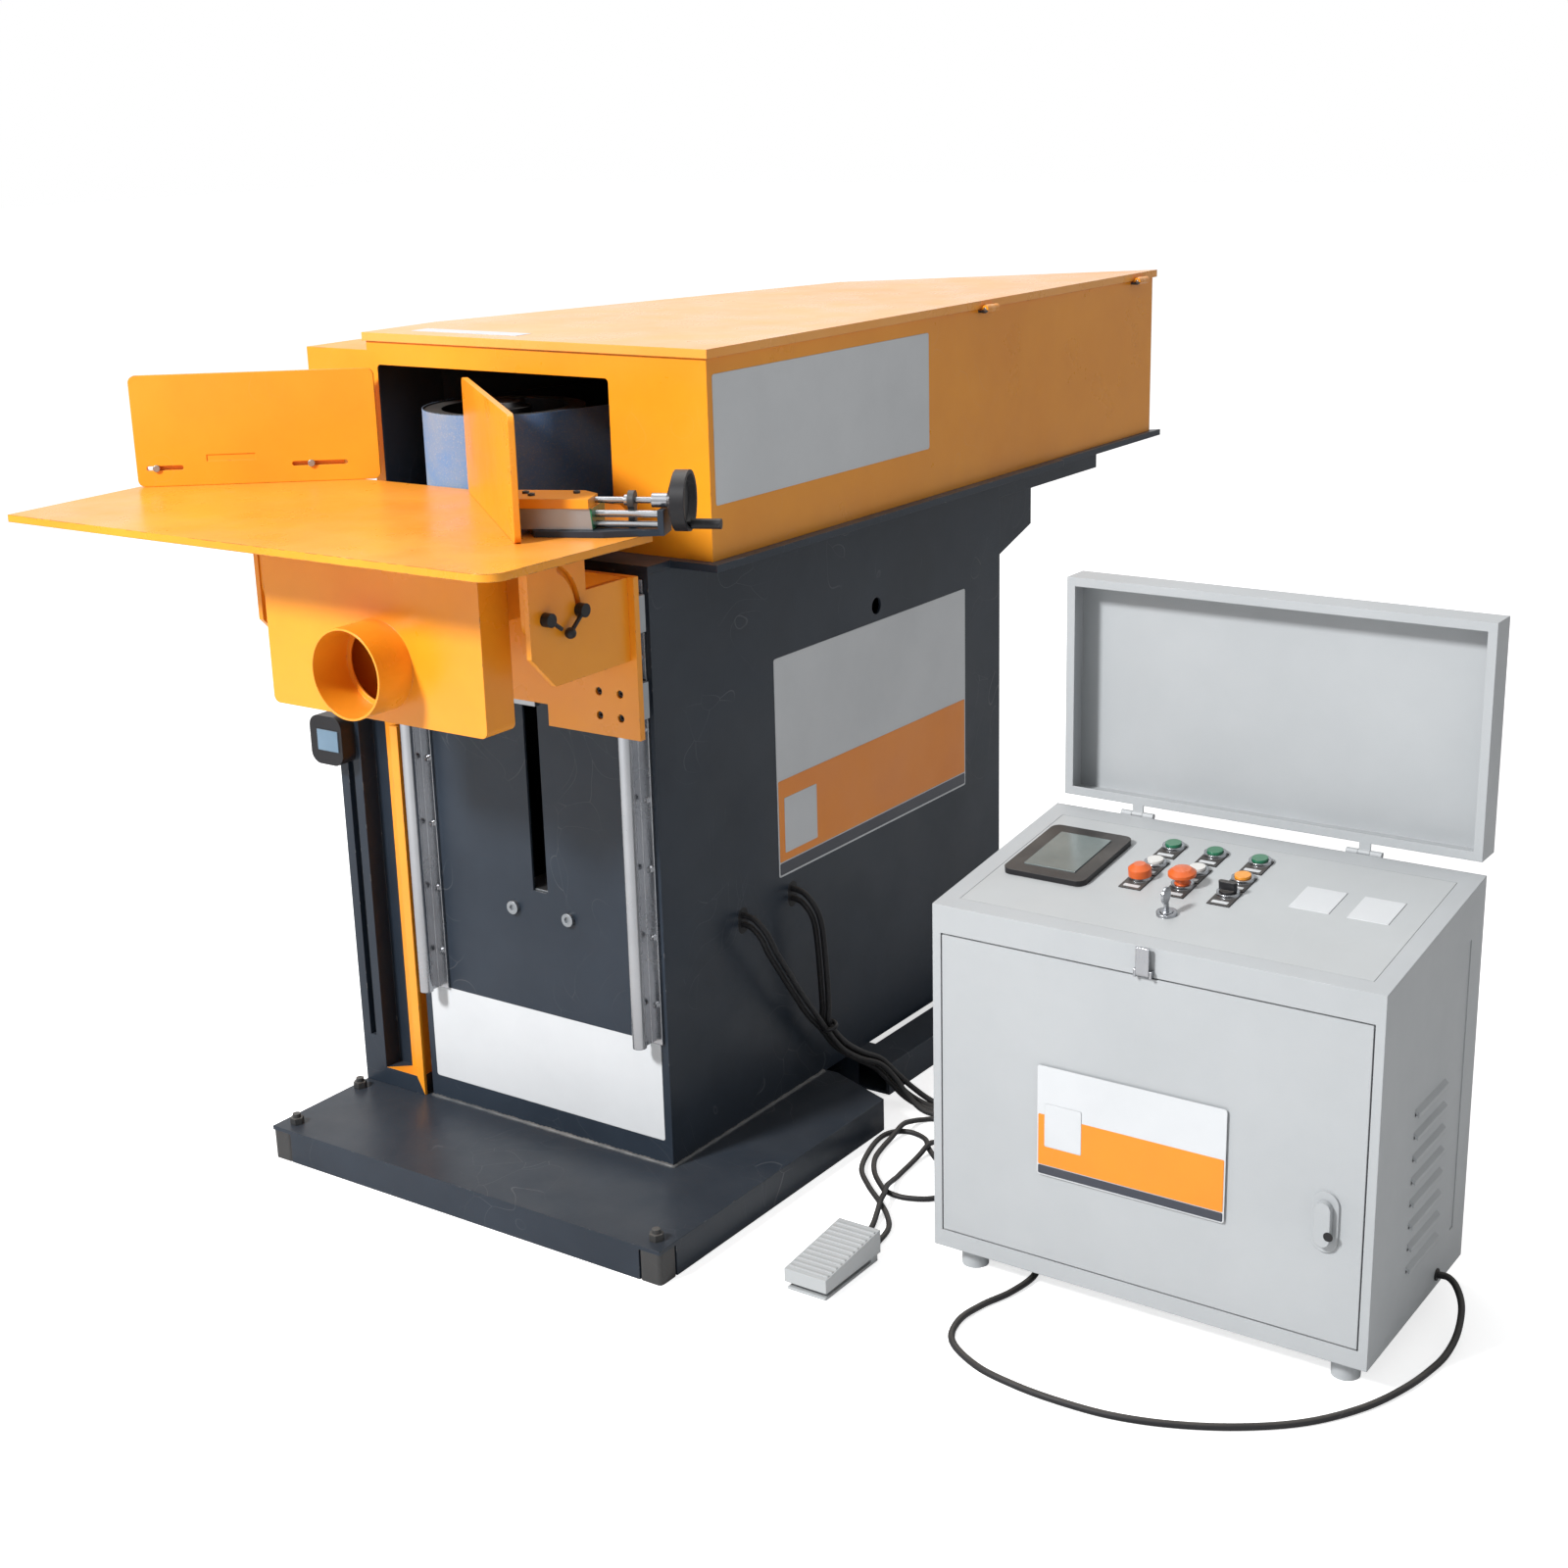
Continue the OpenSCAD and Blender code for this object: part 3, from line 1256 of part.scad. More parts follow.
// Cabinet door: a flush pan hung on two pins at its left edge
lock_x = 540;
lock_z = 219;
plate_half_w = 17;
lock_plate_h = 79;
lock_plate_t = 3;
lock_bore_r = 6;
module cabinet_door() color(pale_grey) translate([cabinet_at[0], cabinet_at[1], 0])
    difference() {
        union() {
            block([door_side, 0, door_low],
                [cabinet_w - 2 * door_side, door_sheet, door_top - door_low]);
            difference() {
                block([door_side, 0, door_low],
                    [cabinet_w - 2 * door_side, door_depth, door_top - door_low]);
                block([door_side + lip_w, door_sheet, door_low + lip_w],
                    [cabinet_w - 2 * door_side - 2 * lip_w, door_depth,
                        door_top - door_low - 2 * lip_w]);
            }
            plate_xz(-lock_plate_t, lock_plate_t + cut) translate([lock_x, lock_z])
                rotate(90) slot_2d(lock_plate_h, 2 * plate_half_w);
        }
        bar_y([lock_x, -lock_plate_t - cut, lock_z], lock_bore_r + run_fit,
            door_sheet + lock_plate_t + 2 * cut);
        for (z = [door_low - cut, door_top - door_pin_len])
            bar_z([door_side + door_pin, door_pin, z], door_pin_r + run_fit, door_pin_len + cut);
    }
// Quarter-turn handle of the door, with its shaft and cam
handle_w = 20;
handle_h = 58;
handle_t = 9;
cam_len = 30;
cam_t = 3;
module door_handle() color(pale_grey) translate([cabinet_at[0] + lock_x, cabinet_at[1],
    lock_z]) {
        plate_xz(-lock_plate_t - gap - handle_t, handle_t) rotate(90)
            slot_2d(handle_h, handle_w);
        bar_y([0, -lock_plate_t - handle_t, 0], lock_bore_r,
            lock_plate_t + handle_t + door_sheet + gap + cam_t);
        block([-cam_t, door_sheet + gap, -cam_t], [cam_len, cam_t, 2 * cam_t]);
    }

// Cabinet lid, standing open: a deep pan with a return flange, open towards the operator
cabinet_lid_w = 583;
cabinet_lid_h = 305;
cabinet_lid_start = 13;
lid_flange = 12;
lid_pan_t = 2;
module cabinet_lid() color(pale_grey) {
    y = cabinet_back_y + lid_pin_back;
    z = cabinet_back_z + lid_pin_up;
    side = (cabinet_w - cabinet_lid_w) / 2;
    difference() {
        block([cabinet_at[0] + side, y, z + cabinet_lid_start],
            [cabinet_lid_w, cabinet_lid_depth, cabinet_lid_h]);
        block([cabinet_at[0] + side + lid_pan_t, y + lid_pan_t, z + cabinet_lid_start + lid_pan_t],
            [cabinet_lid_w - 2 * lid_pan_t, cabinet_lid_depth - 2 * lid_pan_t,
                cabinet_lid_h - 2 * lid_pan_t]);
        block([cabinet_at[0] + side + lid_flange, y - cut, z + cabinet_lid_start + lid_flange],
            [cabinet_lid_w - 2 * lid_flange, lid_pan_t + 2 * cut,
                cabinet_lid_h - 2 * lid_flange]);
    }
    for (x = cabinet_hinge_xs) difference() {
        union() {
            bar_x([cabinet_at[0] + x - lid_barrel_len / 2 + gap / 2, y, z], lid_barrel_r,
                lid_barrel_len - gap);
            block([cabinet_at[0] + x - lid_barrel_len / 2 + gap / 2, y, z],
                [lid_barrel_len - gap, lid_pan_t, cabinet_lid_start + lid_pan_t]);
        }
        bar_x([cabinet_at[0] + x - lid_barrel_len, y, z], lid_pin_r + run_fit,
            2 * lid_barrel_len);
    }
}

// Hinge pins of the housing's lid, the cabinet's lid and the cabinet's door
module hinge_pins() color(steel) {
    for (y = lid_hinge_ys) bar_y([lid_hinge_x, y - 3 * lid_knuckle / 2, lid_hinge_z],
        hinge_pin_r, 3 * lid_knuckle);
    for (x = cabinet_hinge_xs) bar_x([cabinet_at[0] + x - 3 * lid_barrel_len / 2,
        cabinet_back_y + lid_pin_back, cabinet_back_z + lid_pin_up], lid_pin_r,
        3 * lid_barrel_len);
    for (z = [door_low - door_gap, door_top - door_pin_len + door_gap])
        bar_z([cabinet_at[0] + door_side + door_pin, cabinet_at[1] + door_pin, z],
            door_pin_r, door_pin_len);
}

// Toggle latch on the cabinet's front: a lever on a pin between two ears
latch_x = 299;
latch_z = 486;
latch_w = 24;
latch_t = 3;
latch_h = 34;
latch_pin_r = 2;
latch_out = 5;
module toggle_latch() color(chrome) translate([cabinet_at[0] + latch_x, cabinet_at[1]
    - latch_out, latch_z]) difference() {
        union() {
            bar_x([-latch_w / 2 + latch_t + gap, 0, 0], latch_out - cut,
                latch_w - 2 * latch_t - 2 * gap);
            block([-latch_w / 2 + latch_t + gap, -latch_out + cut, 0],
                [latch_w - 2 * latch_t - 2 * gap, latch_t, latch_h]);
        }
        bar_x([-latch_w, 0, 0], latch_pin_r + run_fit, 2 * latch_w);
    }

// Panel controls: a bezel for each button, with its legend plate below it
button_xs = [211, 270, 332];
button_rows = [265, 211, 166];
button_r = 10.5;
button_rise = 9;
button_deep = 10;
bezel_r = 14.5;
bezel_in_r = button_r + gap;
bezel_h = 6;
legend_w = 30;
legend_len = 42;
legend_t = 1.5;
legend_drop = 32;
display_at = [38, 113];
display_w = 118;
display_len = 148;
display_t = 8;
display_round = 12;
screen_margin = 22;
screen_rise = 1.5;
label_at = [[412, 165], [487, 165]];
label_w = 52;
label_len = 62;
label_t = 0.8;
key_at = [285, 88];
key_bezel_r = 13;
key_bezel_h = 4;
key_r = 8;
lamp_dome_r = 15;
lamp_h = 20;
dome_waist_share = 0.5;
dome_top_share = 0.8;
function button_at(col, row) = [button_xs[col], button_rows[row]];
module control_panel() {
    in_panel() {
        color(pale_grey) difference() {
            block([panel_x, panel_s, -cabinet_sheet], [panel_w, panel_len, cabinet_sheet]);
            for (x = button_xs, y = button_rows)
                bar_z([x, y, -panel_t], bezel_in_r, 2 * panel_t);
            bar_z([key_at[0], key_at[1], -panel_t], key_r + gap, 2 * panel_t);
        }
        color(black) {
            for (x = button_xs, y = button_rows) difference() {
                translate([x - legend_w / 2, y - legend_drop, 0])
                    cube([legend_w, legend_len, legend_t]);
                bar_z([x, y, -cut], bezel_in_r, legend_t + 2 * cut);
            }
            translate([display_at[0], display_at[1], 0]) linear_extrude(display_t)
                round_rect(display_w, display_len, display_round);
        }
        color("darkseagreen") block([display_at[0] + screen_margin,
            display_at[1] + screen_margin, display_t], [display_w - 2 * screen_margin,
            display_len - 2 * screen_margin, screen_rise]);
        color(chrome) {
            for (x = button_xs, y = button_rows) difference() {
                bar_z([x, y, 0], bezel_r, bezel_h);
                bar_z([x, y, -cut], bezel_in_r, bezel_h + 2 * cut);
            }
            difference() {
                bar_z([key_at[0], key_at[1], 0], key_bezel_r, key_bezel_h);
                bar_z([key_at[0], key_at[1], -cut], key_r + gap, key_bezel_h + 2 * cut);
            }
        }
        color("white") for (p = label_at) block([p[0], p[1], 0], [label_w, label_len, label_t]);
        color("darkorange") translate([button_xs[0], button_rows[2], bezel_h])
            rotate_extrude() polygon([[0, 0], [lamp_dome_r, 0],
                [lamp_dome_r, lamp_h * dome_waist_share],
                [lamp_dome_r * dome_waist_share, lamp_h * dome_top_share],
                [0, lamp_h * dome_top_share]]);
    }
    color(chrome) translate([cabinet_at[0] + latch_x, cabinet_at[1], latch_z]) {
        for (s = [-1, 1]) translate([s * (latch_w - latch_t) / 2, 0, 0]) difference() {
            block([-latch_t / 2, -latch_out - latch_pin_r - cut, -latch_out],
                [latch_t, latch_out + latch_pin_r + cut, 2 * latch_out]);
            bar_x([-latch_t, -latch_out, 0], latch_pin_r, 2 * latch_t);
        }
        bar_x([-latch_w / 2, -latch_out, 0], latch_pin_r, latch_w);
    }
}
// A push button: a round cap that slides in its bezel, with a retaining skirt under the panel
module push_button(col, row, tone) color(tone) in_panel()
    bar_z([button_at(col, row)[0], button_at(col, row)[1], -button_deep], button_r,
        button_deep + button_rise);
module green_button_1() push_button(0, 0, "seagreen");
module green_button_2() push_button(1, 0, "seagreen");
module green_button_3() push_button(2, 0, "seagreen");
module ringed_button() push_button(0, 1, "lightgrey");
module white_button() push_button(1, 1, "white");
module yellow_button() push_button(2, 1, "orange");

// Mushroom stop button
stop_head_r = 18;
stop_neck_r = 9;
stop_neck_h = 16;
stop_head_h = 10;
stop_crown_share = 0.65;
stop_crown_h = 12;
module stop_button() color("orangered") in_panel() translate([button_at(1, 2)[0],
    button_at(1, 2)[1], 0]) {
        bar_z([0, 0, -button_deep], button_r, button_deep + bezel_h);
        rotate_extrude() polygon([[0, 0], [stop_neck_r, 0], [stop_neck_r, stop_neck_h],
            [stop_head_r, stop_neck_h + cut], [stop_head_r, stop_neck_h + stop_head_h / 2],
            [stop_head_r * stop_crown_share, stop_neck_h + stop_head_h],
            [0, stop_neck_h + stop_crown_h]]);
    }
// Selector switch: a round body with a raised bar across it
knob_rise = 8;
knob_bar_w = 7;
knob_bar_h = 11;
module selector_knob() color(black) in_panel() translate([button_at(2, 2)[0],
    button_at(2, 2)[1], 0]) {
        bar_z([0, 0, -button_deep], button_r, button_deep + knob_rise);
        translate([0, 0, knob_rise]) linear_extrude(knob_bar_h)
            slot_2d(2 * button_r + knob_bar_w / 2, knob_bar_w);
    }
// Key switch barrel with its key in it
key_blade = [3, 8, 18];
key_bow_r = 11;
key_bow_t = 3;
key_sink = 3;
module key_switch() color(chrome) in_panel() translate([key_at[0], key_at[1], 0]) {
    bar_z([0, 0, -button_deep], key_r, button_deep + key_bezel_h + cut);
    block([-key_blade[0] / 2, -key_blade[1] / 2, 0], key_blade);
    translate([-key_bow_t / 2, 0, key_blade[2] + key_bow_r - key_sink]) rotate([0, 90, 0])
        cylinder(r = key_bow_r, h = key_bow_t);
}

// Electrical gear on its mounting plate inside the cabinet
gear_plate_side = 40;
gear_plate_low = 60;
gear_plate_h = 400;
gear_plate_t = 3;
gear_plate_y = cabinet_d - 60;
stand_off_r = 8;
drive_box = [150, 120, 220];
contactor = [48, 80, 80];
contactor_gap = 12;
terminal_strip = [260, 40, 45];
breaker = [72, 70, 85];
gear_row_rise = 200;
drive_box_rise = 130;
terminal_rise = 48;
module cabinet_electrics() color(steel) translate([cabinet_at[0], cabinet_at[1], 0]) {
    block([gear_plate_side, gear_plate_y, gear_plate_low],
        [cabinet_w - 2 * gear_plate_side, gear_plate_t, gear_plate_h]);
    for (x = [gear_plate_side + foot_r, cabinet_w - gear_plate_side - foot_r],
        z = [gear_plate_low + gland_z, gear_plate_low + gear_plate_h - foot_r])
        bar_y([x, gear_plate_y, z], stand_off_r, cabinet_d - cabinet_sheet - gear_plate_y);
    translate([gear_plate_side + contactor_gap, gear_plate_y - drive_box[1],
        gear_plate_low + drive_box_rise]) cube(drive_box);
    for (i = [0:2]) translate([gear_plate_side + drive_box[0] + 3 * contactor_gap
        + i * (contactor[0] + contactor_gap), gear_plate_y - contactor[1],
        gear_plate_low + gear_row_rise]) cube(contactor);
    translate([cabinet_w - gear_plate_side - breaker[0] - contactor_gap,
        gear_plate_y - breaker[1], gear_plate_low + gear_row_rise]) cube(breaker);
    translate([gear_plate_side + drive_box[0] + 3 * contactor_gap,
        gear_plate_y - terminal_strip[1], gear_plate_low + terminal_rise]) cube(terminal_strip);
}

// Foot pedal: a flat base with a switch body and ears, and a ribbed cover that tips on a pin
pedal_at = [509, -595];
pedal_front_h = 31;
pedal_back_h = 45;
pedal_base_t = 4;
pedal_lift = 12;
pedal_wall = 2.5;
pedal_pin_r = 3;
pedal_pin_back = 10;
pedal_pin_z = 20;
pedal_ear_t = 6;
pedal_rib_count = 12;
pedal_rib_h = 1.2;
pedal_rib_w = 4;
pedal_switch = [26, 40, 12];
pedal_clear = 0.5;
cord_gland = [38, 16, 11];
module pedal_base() color(slate) translate([pedal_at[0], pedal_at[1], 0]) {
    union() {
        block([pedal_wall + pedal_clear, pedal_wall + pedal_clear, 0],
            [pedal_w - 2 * pedal_wall - 2 * pedal_clear,
                pedal_len - 2 * pedal_wall - 2 * pedal_clear, pedal_base_t]);
        block([(pedal_w - cord_gland[0]) / 2, pedal_len - cord_gland[1], 0], cord_gland);
        block([(pedal_w - pedal_switch[0]) / 2, pedal_switch[1], 0], pedal_switch);
        for (x = [pedal_wall + gap, pedal_w - pedal_wall - gap - pedal_ear_t])
            block([x, pedal_len - 2 * pedal_pin_back, 0],
                [pedal_ear_t, 2 * pedal_pin_back - pedal_wall - cut, pedal_pin_z + pedal_pin_r
                    + pedal_base_t]);
        bar_x([pedal_wall + gap, pedal_len - pedal_pin_back, pedal_pin_z], pedal_pin_r,
            pedal_w - 2 * pedal_wall - 2 * gap);
    }
}
pedal_pts = [[0, pedal_lift], [pedal_len, pedal_lift], [pedal_len, pedal_back_h],
    [0, pedal_front_h]];
module pedal_top() color(pale_grey) translate([pedal_at[0], pedal_at[1], 0]) {
    difference() {
        plate_yz(0, pedal_w) polygon(pedal_pts);
        plate_yz(pedal_wall, pedal_w - 2 * pedal_wall) polygon([
            [pedal_wall, 0], [pedal_len - pedal_wall, 0],
            [pedal_len - pedal_wall, pedal_back_h - pedal_wall - cut],
            [pedal_wall, pedal_front_h - pedal_wall]]);
    }
    for (s = [0, 1]) difference() {
        block([pedal_w / 2 + (s - 1 / 2) * (pedal_w - 2 * pedal_wall - 4 * gap
            - 2 * pedal_ear_t) - s * pedal_ear_t, pedal_len - pedal_wall - 2 * pedal_pin_back,
            pedal_pin_z - pedal_pin_r - cut], [pedal_ear_t, 2 * pedal_pin_back + cut,
            pedal_back_h - pedal_pin_z - cut]);
        bar_x([0, pedal_len - pedal_pin_back, pedal_pin_z], pedal_pin_r + run_fit, pedal_w);
    }
    for (i = [1:pedal_rib_count]) translate([0, pedal_len * i / (pedal_rib_count + 1)
        - pedal_rib_w / 2, 0]) block([pedal_wall, 0, pedal_front_h - pedal_wall / 2
            + (pedal_back_h - pedal_front_h) * i / (pedal_rib_count + 1)],
            [pedal_w - 2 * pedal_wall, pedal_rib_w, pedal_wall / 2 + pedal_rib_h]);
}

// Grommets where the cables leave the column and enter the cabinet and the pedal
grommet_t = 8;
grommet_wall = 2;
module cable_grommets() color(black) {
    for (h = [cable_hole_front, cable_hole_rear])
        plate_yz(column_side - column_wall - grommet_wall, column_wall + grommet_wall)
            translate(h) rotate(90) slot_2d(cable_hole_h, cable_hole_w);
    for (x = gland_xs) bar_y([cabinet_at[0] + x, cabinet_back_y - grommet_t, gland_z],
        gland_hole_r, grommet_t + grommet_wall);
    bar_x([cabinet_at[0] + cabinet_w - grommet_t, cabinet_at[1] + side_hole[0], side_hole[1]],
        side_hole_r, grommet_t + grommet_wall);
}

// Routes of the free cables, chosen by hand, each from its exit to its gland
cable_route_1 = [[232, -283, 360], [238, -283, 360], [250, -283, 356], [263, -281, 342], [268, -272, 318],
    [268, -245, 280], [267, -210, 233], [266, -175, 188], [266, -139, 151], [269, -104, 109],
    [278, -68, 80], [302, -43, 58], [324, -37, 37], [350, -35, 17], [382, -33, 6],
    [420, -33, 5], [520, -33, 5], [620, -33, 5], [700, -33, 5], [736, -34, 12],
    [758, -38, 32], [770, -46, 58], [775, -58, 80], [776, -74, 92], [776, -87, 95],
    [776, -99, 95]];
cable_route_2 = [[232, -156, 361], [238, -156, 361], [250, -156, 357], [263, -155, 343], [268, -151, 322],
    [268, -144, 280], [267, -137, 220], [266, -133, 185], [266, -131, 159], [269, -96, 117],
    [278, -60, 88], [298, -33, 62], [324, -26, 37], [350, -24, 17], [382, -22, 6],
    [420, -22, 5], [540, -22, 5], [660, -22, 5], [760, -22, 5], [796, -23, 12],
    [818, -28, 32], [830, -37, 58], [835, -52, 80], [836, -70, 92], [836, -86, 95],
    [836, -99, 95]];
cable_route_3 = [[232, -156, 376], [240, -156, 376], [256, -156, 371], [273, -155, 352], [280, -151, 326],
    [280, -144, 280], [279, -137, 220], [277, -133, 185], [277, -131, 159], [280, -96, 117],
    [289, -60, 88], [306, -33, 70], [332, -26, 47], [356, -18, 26], [386, -11, 8],
    [420, -11, 5], [540, -11, 5], [660, -11, 5], [790, -11, 5], [826, -12, 12],
    [848, -18, 32], [860, -28, 58], [865, -44, 80], [866, -64, 92], [866, -84, 95],
    [866, -99, 95]];
loop_route = [[232, -283, 374], [240, -283, 374], [256, -283, 369], [273, -280, 350], [280, -270, 322],
    [280, -243, 284], [279, -208, 236], [278, -172, 192], [277, -139, 151], [280, -104, 109],
    [290, -69, 81], [310, -43, 66], [332, -37, 47], [356, -40, 26], [386, -44, 8],
    [420, -44, 5], [490, -44, 5], [560, -44, 6], [580, -46, 12], [598, -54, 16],
    [614, -66, 16], [630, -82, 12], [641, -102, 6], [648, -125, 5], [654, -155, 5],
    [672, -205, 5], [706, -265, 5], [748, -335, 5], [774, -392, 5], [770, -450, 5],
    [754, -500, 5], [748, -548, 5], [766, -596, 5], [820, -630, 5], [880, -643, 5],
    [941, -646, 5], [1010, -640, 5], [1080, -618, 5], [1150, -580, 5], [1210, -530, 5],
    [1255, -465, 5], [1282, -395, 5], [1295, -330, 5], [1298, -290, 8], [1297, -258, 18],
    [1290, -228, 34], [1276, -207, 46], [1262, -198, 52], [1248, -198, 52]];
pedal_route_1 = [[553, -462, 5], [552, -442, 5], [543, -392, 5], [520, -358, 5],
    [490, -330, 5], [448, -295, 5], [412, -256, 5], [390, -200, 5], [381, -155, 5],
    [388, -128, 5], [410, -116, 5], [440, -124, 5], [463, -150, 5], [500, -182, 5],
    [540, -212, 5], [560, -248, 5], [548, -282, 5], [514, -300, 5], [484, -299, 5],
    [468, -289, 5], [436, -258, 5], [413, -222, 5], [402, -185, 5], [398, -150, 8],
    [397, -118, 15], [397, -92, 10], [405, -68, 5], [430, -56, 5], [520, -55, 5],
    [600, -55, 5], [660, -55, 5], [696, -55, 11], [716, -56, 28], [728, -59, 52],
    [733, -66, 76], [735, -78, 90], [736, -90, 95], [736, -99, 95]];
pedal_route_2 = [[531, -462, 5], [530, -440, 5], [520, -398, 5], [508, -366, 8],
    [498, -340, 14], [490, -318, 13], [482, -298, 14], [475, -275, 9], [470, -248, 5],
    [466, -212, 5], [464, -178, 8], [464, -151, 14], [466, -124, 8], [473, -96, 5],
    [492, -74, 5], [530, -66, 5], [580, -66, 5], [620, -66, 5], [656, -66, 11],
    [676, -66, 28], [688, -68, 54], [694, -74, 76], [696, -83, 91], [696, -90, 95], [696, -99, 95]];
cord_sides = 8;
module machine_cables() color(black)
    for (p = [cable_route_1, cable_route_2, cable_route_3])
        cord_tube(p, machine_cable_dia, cord_sides);
module loop_cable() color(black) cord_tube(loop_route, machine_cable_dia, cord_sides);
module pedal_cords() color(black) for (p = [pedal_route_1, pedal_route_2])
    cord_tube(p, pedal_cord_dia, cord_sides);

base_plate();
base_fittings();
rear_base_frame();
column_shell();
limit_post();
linear_rails();
head_plate();
head_beam();
belt_housing();
abrasive_belt();
wheel_supports();
motors();
v_belt();
hinge_pins();
cable_grommets();
contact_wheel();
drive_wheel();
drive_shaft();
motor_pulley();
lift_screw();
carriage_plate();
carriage_blocks();
gussets();
lift_nut();
dust_hopper();
carriage_bolts();
table_top();
table_brackets();
slide_base();
pivot_lever();
slot_lever();
left_fence();
right_fence();
slide_carriage();
lead_screw();
hand_wheel();
crank_handle();
housing_lid();
cabinet_shell();
cabinet_door();
door_handle();
cabinet_lid();
toggle_latch();
control_panel();
cabinet_electrics();
green_button_1();
green_button_2();
green_button_3();
ringed_button();
white_button();
yellow_button();
stop_button();
selector_knob();
key_switch();
pedal_base();
pedal_top();
machine_cables();
loop_cable();
pedal_cords();
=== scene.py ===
# %% [markdown]
# # Corner grinding machine
# A belt grinding head stands on a column. In front of it a table lifts and tilts, with a fence on
# each side of the belt. A control cabinet and a foot pedal stand beside it.
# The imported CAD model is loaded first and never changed: its pieces get finishes here, and thin
# details that CAD leaves out are built on top of them.

# %% Load the frame
import json
import math

import bpy
import bmesh
from mathutils import Matrix, Vector

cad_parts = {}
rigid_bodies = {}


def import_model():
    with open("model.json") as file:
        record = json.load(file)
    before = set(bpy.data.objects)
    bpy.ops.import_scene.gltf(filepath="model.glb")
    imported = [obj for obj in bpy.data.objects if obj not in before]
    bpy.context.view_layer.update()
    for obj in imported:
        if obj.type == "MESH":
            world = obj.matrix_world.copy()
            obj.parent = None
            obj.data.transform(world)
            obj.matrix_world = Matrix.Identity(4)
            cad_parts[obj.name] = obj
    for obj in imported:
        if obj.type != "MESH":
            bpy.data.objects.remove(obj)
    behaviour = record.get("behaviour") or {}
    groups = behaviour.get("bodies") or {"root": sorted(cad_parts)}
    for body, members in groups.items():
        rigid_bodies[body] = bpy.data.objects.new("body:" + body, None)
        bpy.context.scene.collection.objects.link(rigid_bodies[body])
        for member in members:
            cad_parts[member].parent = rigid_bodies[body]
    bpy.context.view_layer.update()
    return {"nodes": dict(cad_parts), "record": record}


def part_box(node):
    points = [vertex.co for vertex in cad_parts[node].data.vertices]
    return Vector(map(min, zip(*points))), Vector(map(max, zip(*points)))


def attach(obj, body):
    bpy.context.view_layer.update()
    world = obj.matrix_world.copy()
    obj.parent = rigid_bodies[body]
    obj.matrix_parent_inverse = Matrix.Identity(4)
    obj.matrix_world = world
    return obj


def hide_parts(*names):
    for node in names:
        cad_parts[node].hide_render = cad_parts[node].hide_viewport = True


for leftover in list(bpy.data.objects):
    bpy.data.objects.remove(leftover)
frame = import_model()
nodes = frame["nodes"]
print("pieces from CAD:", len(nodes))

# %% [markdown]
# ## Camera
# The photograph was taken from the machine's front right, a little above its head. The camera is
# built from its three directions, so that its small roll is kept as well.

# %% Camera
YAW, PITCH, ROLL = (math.radians(a) for a in (35.0726, 17.0723, -1.5602))
CAMERA_AT = (2.05379, -2.76530, 1.51702)
LENS_MM, SENSOR_MM = 51.914, 36
ahead = Vector((-math.sin(YAW) * math.cos(PITCH),
                math.cos(YAW) * math.cos(PITCH),
                -math.sin(PITCH)))
right = Vector((math.cos(YAW), math.sin(YAW), 0))
up = right.cross(ahead)
camera_x = math.cos(ROLL) * right + math.sin(ROLL) * up
camera_y = math.cos(ROLL) * up - math.sin(ROLL) * right
turn = Matrix((camera_x, camera_y, -ahead)).transposed().to_4x4()
lens = bpy.data.cameras.new("camera")
lens.sensor_width = SENSOR_MM
lens.lens = LENS_MM
camera = bpy.data.objects.new("camera", lens)
camera.matrix_world = Matrix.Translation(CAMERA_AT) @ turn
bpy.context.collection.objects.link(camera)
bpy.context.scene.camera = camera
print("camera looks along", [round(v, 2) for v in ahead])

# %% [markdown]
# ## Building a shader
# A finish is a chain of shader nodes. The first helper adds one node and sets its sockets: one
# that is given another socket is linked, and one given a number or colour keeps it. The second
# starts a group with its inputs and one mask as its output.


# %% Shader helpers
def add(tree, kind, sockets=None, **settings):
    made = tree.nodes.new("ShaderNode" + kind)
    for name, value in settings.items():
        setattr(made, name, value)
    for key, value in (sockets or {}).items():
        if isinstance(value, bpy.types.NodeSocket):
            tree.links.new(value, made.inputs[key])
        else:
            made.inputs[key].default_value = value
    return made


def new_group(name, inputs):
    tree = bpy.data.node_groups.new(name, "ShaderNodeTree")
    for label, value in inputs.items():
        socket = tree.interface.new_socket(label, in_out="INPUT", socket_type="NodeSocketFloat")
        socket.default_value = value
    tree.interface.new_socket("Mask", in_out="OUTPUT", socket_type="NodeSocketFloat")
    given = tree.nodes.new("NodeGroupInput").outputs
    result = tree.nodes.new("NodeGroupOutput").inputs
    return tree, given, result


# %% [markdown]
# ## Shared effects
# Paint chips where edges get knocked, hands and tools leave fine scratches, large areas are never
# quite even, and dust lies on what faces up. Each is a group that gives a mask, so every finish can
# use it in its own strength. The Bevel node finds the edges: there its normal leaves the face's.

# %% Edge wear
wear, given, result = new_group("Edge wear", {"Radius": 0.002, "Scale": 60.0, "Amount": 0.5})
rounded = add(wear, "Bevel", {"Radius": given["Radius"]}, samples=4)
flat = add(wear, "NewGeometry")
same = add(wear, "VectorMath", {0: rounded.outputs[0], 1: flat.outputs["Normal"]},
           operation="DOT_PRODUCT")
edge = add(wear, "MapRange", {"Value": same.outputs["Value"], "From Min": 0.99, "From Max": 0.8})
place = add(wear, "TexCoord").outputs["Object"]
chips = add(wear, "TexNoise", {"Vector": place, "Scale": given["Scale"], "Detail": 4.0})
raised = add(wear, "Math", {0: chips.outputs[0], 1: given["Amount"]}, operation="ADD")
hard = add(wear, "MapRange", {"Value": raised.outputs[0], "From Min": 0.98, "From Max": 1.06})
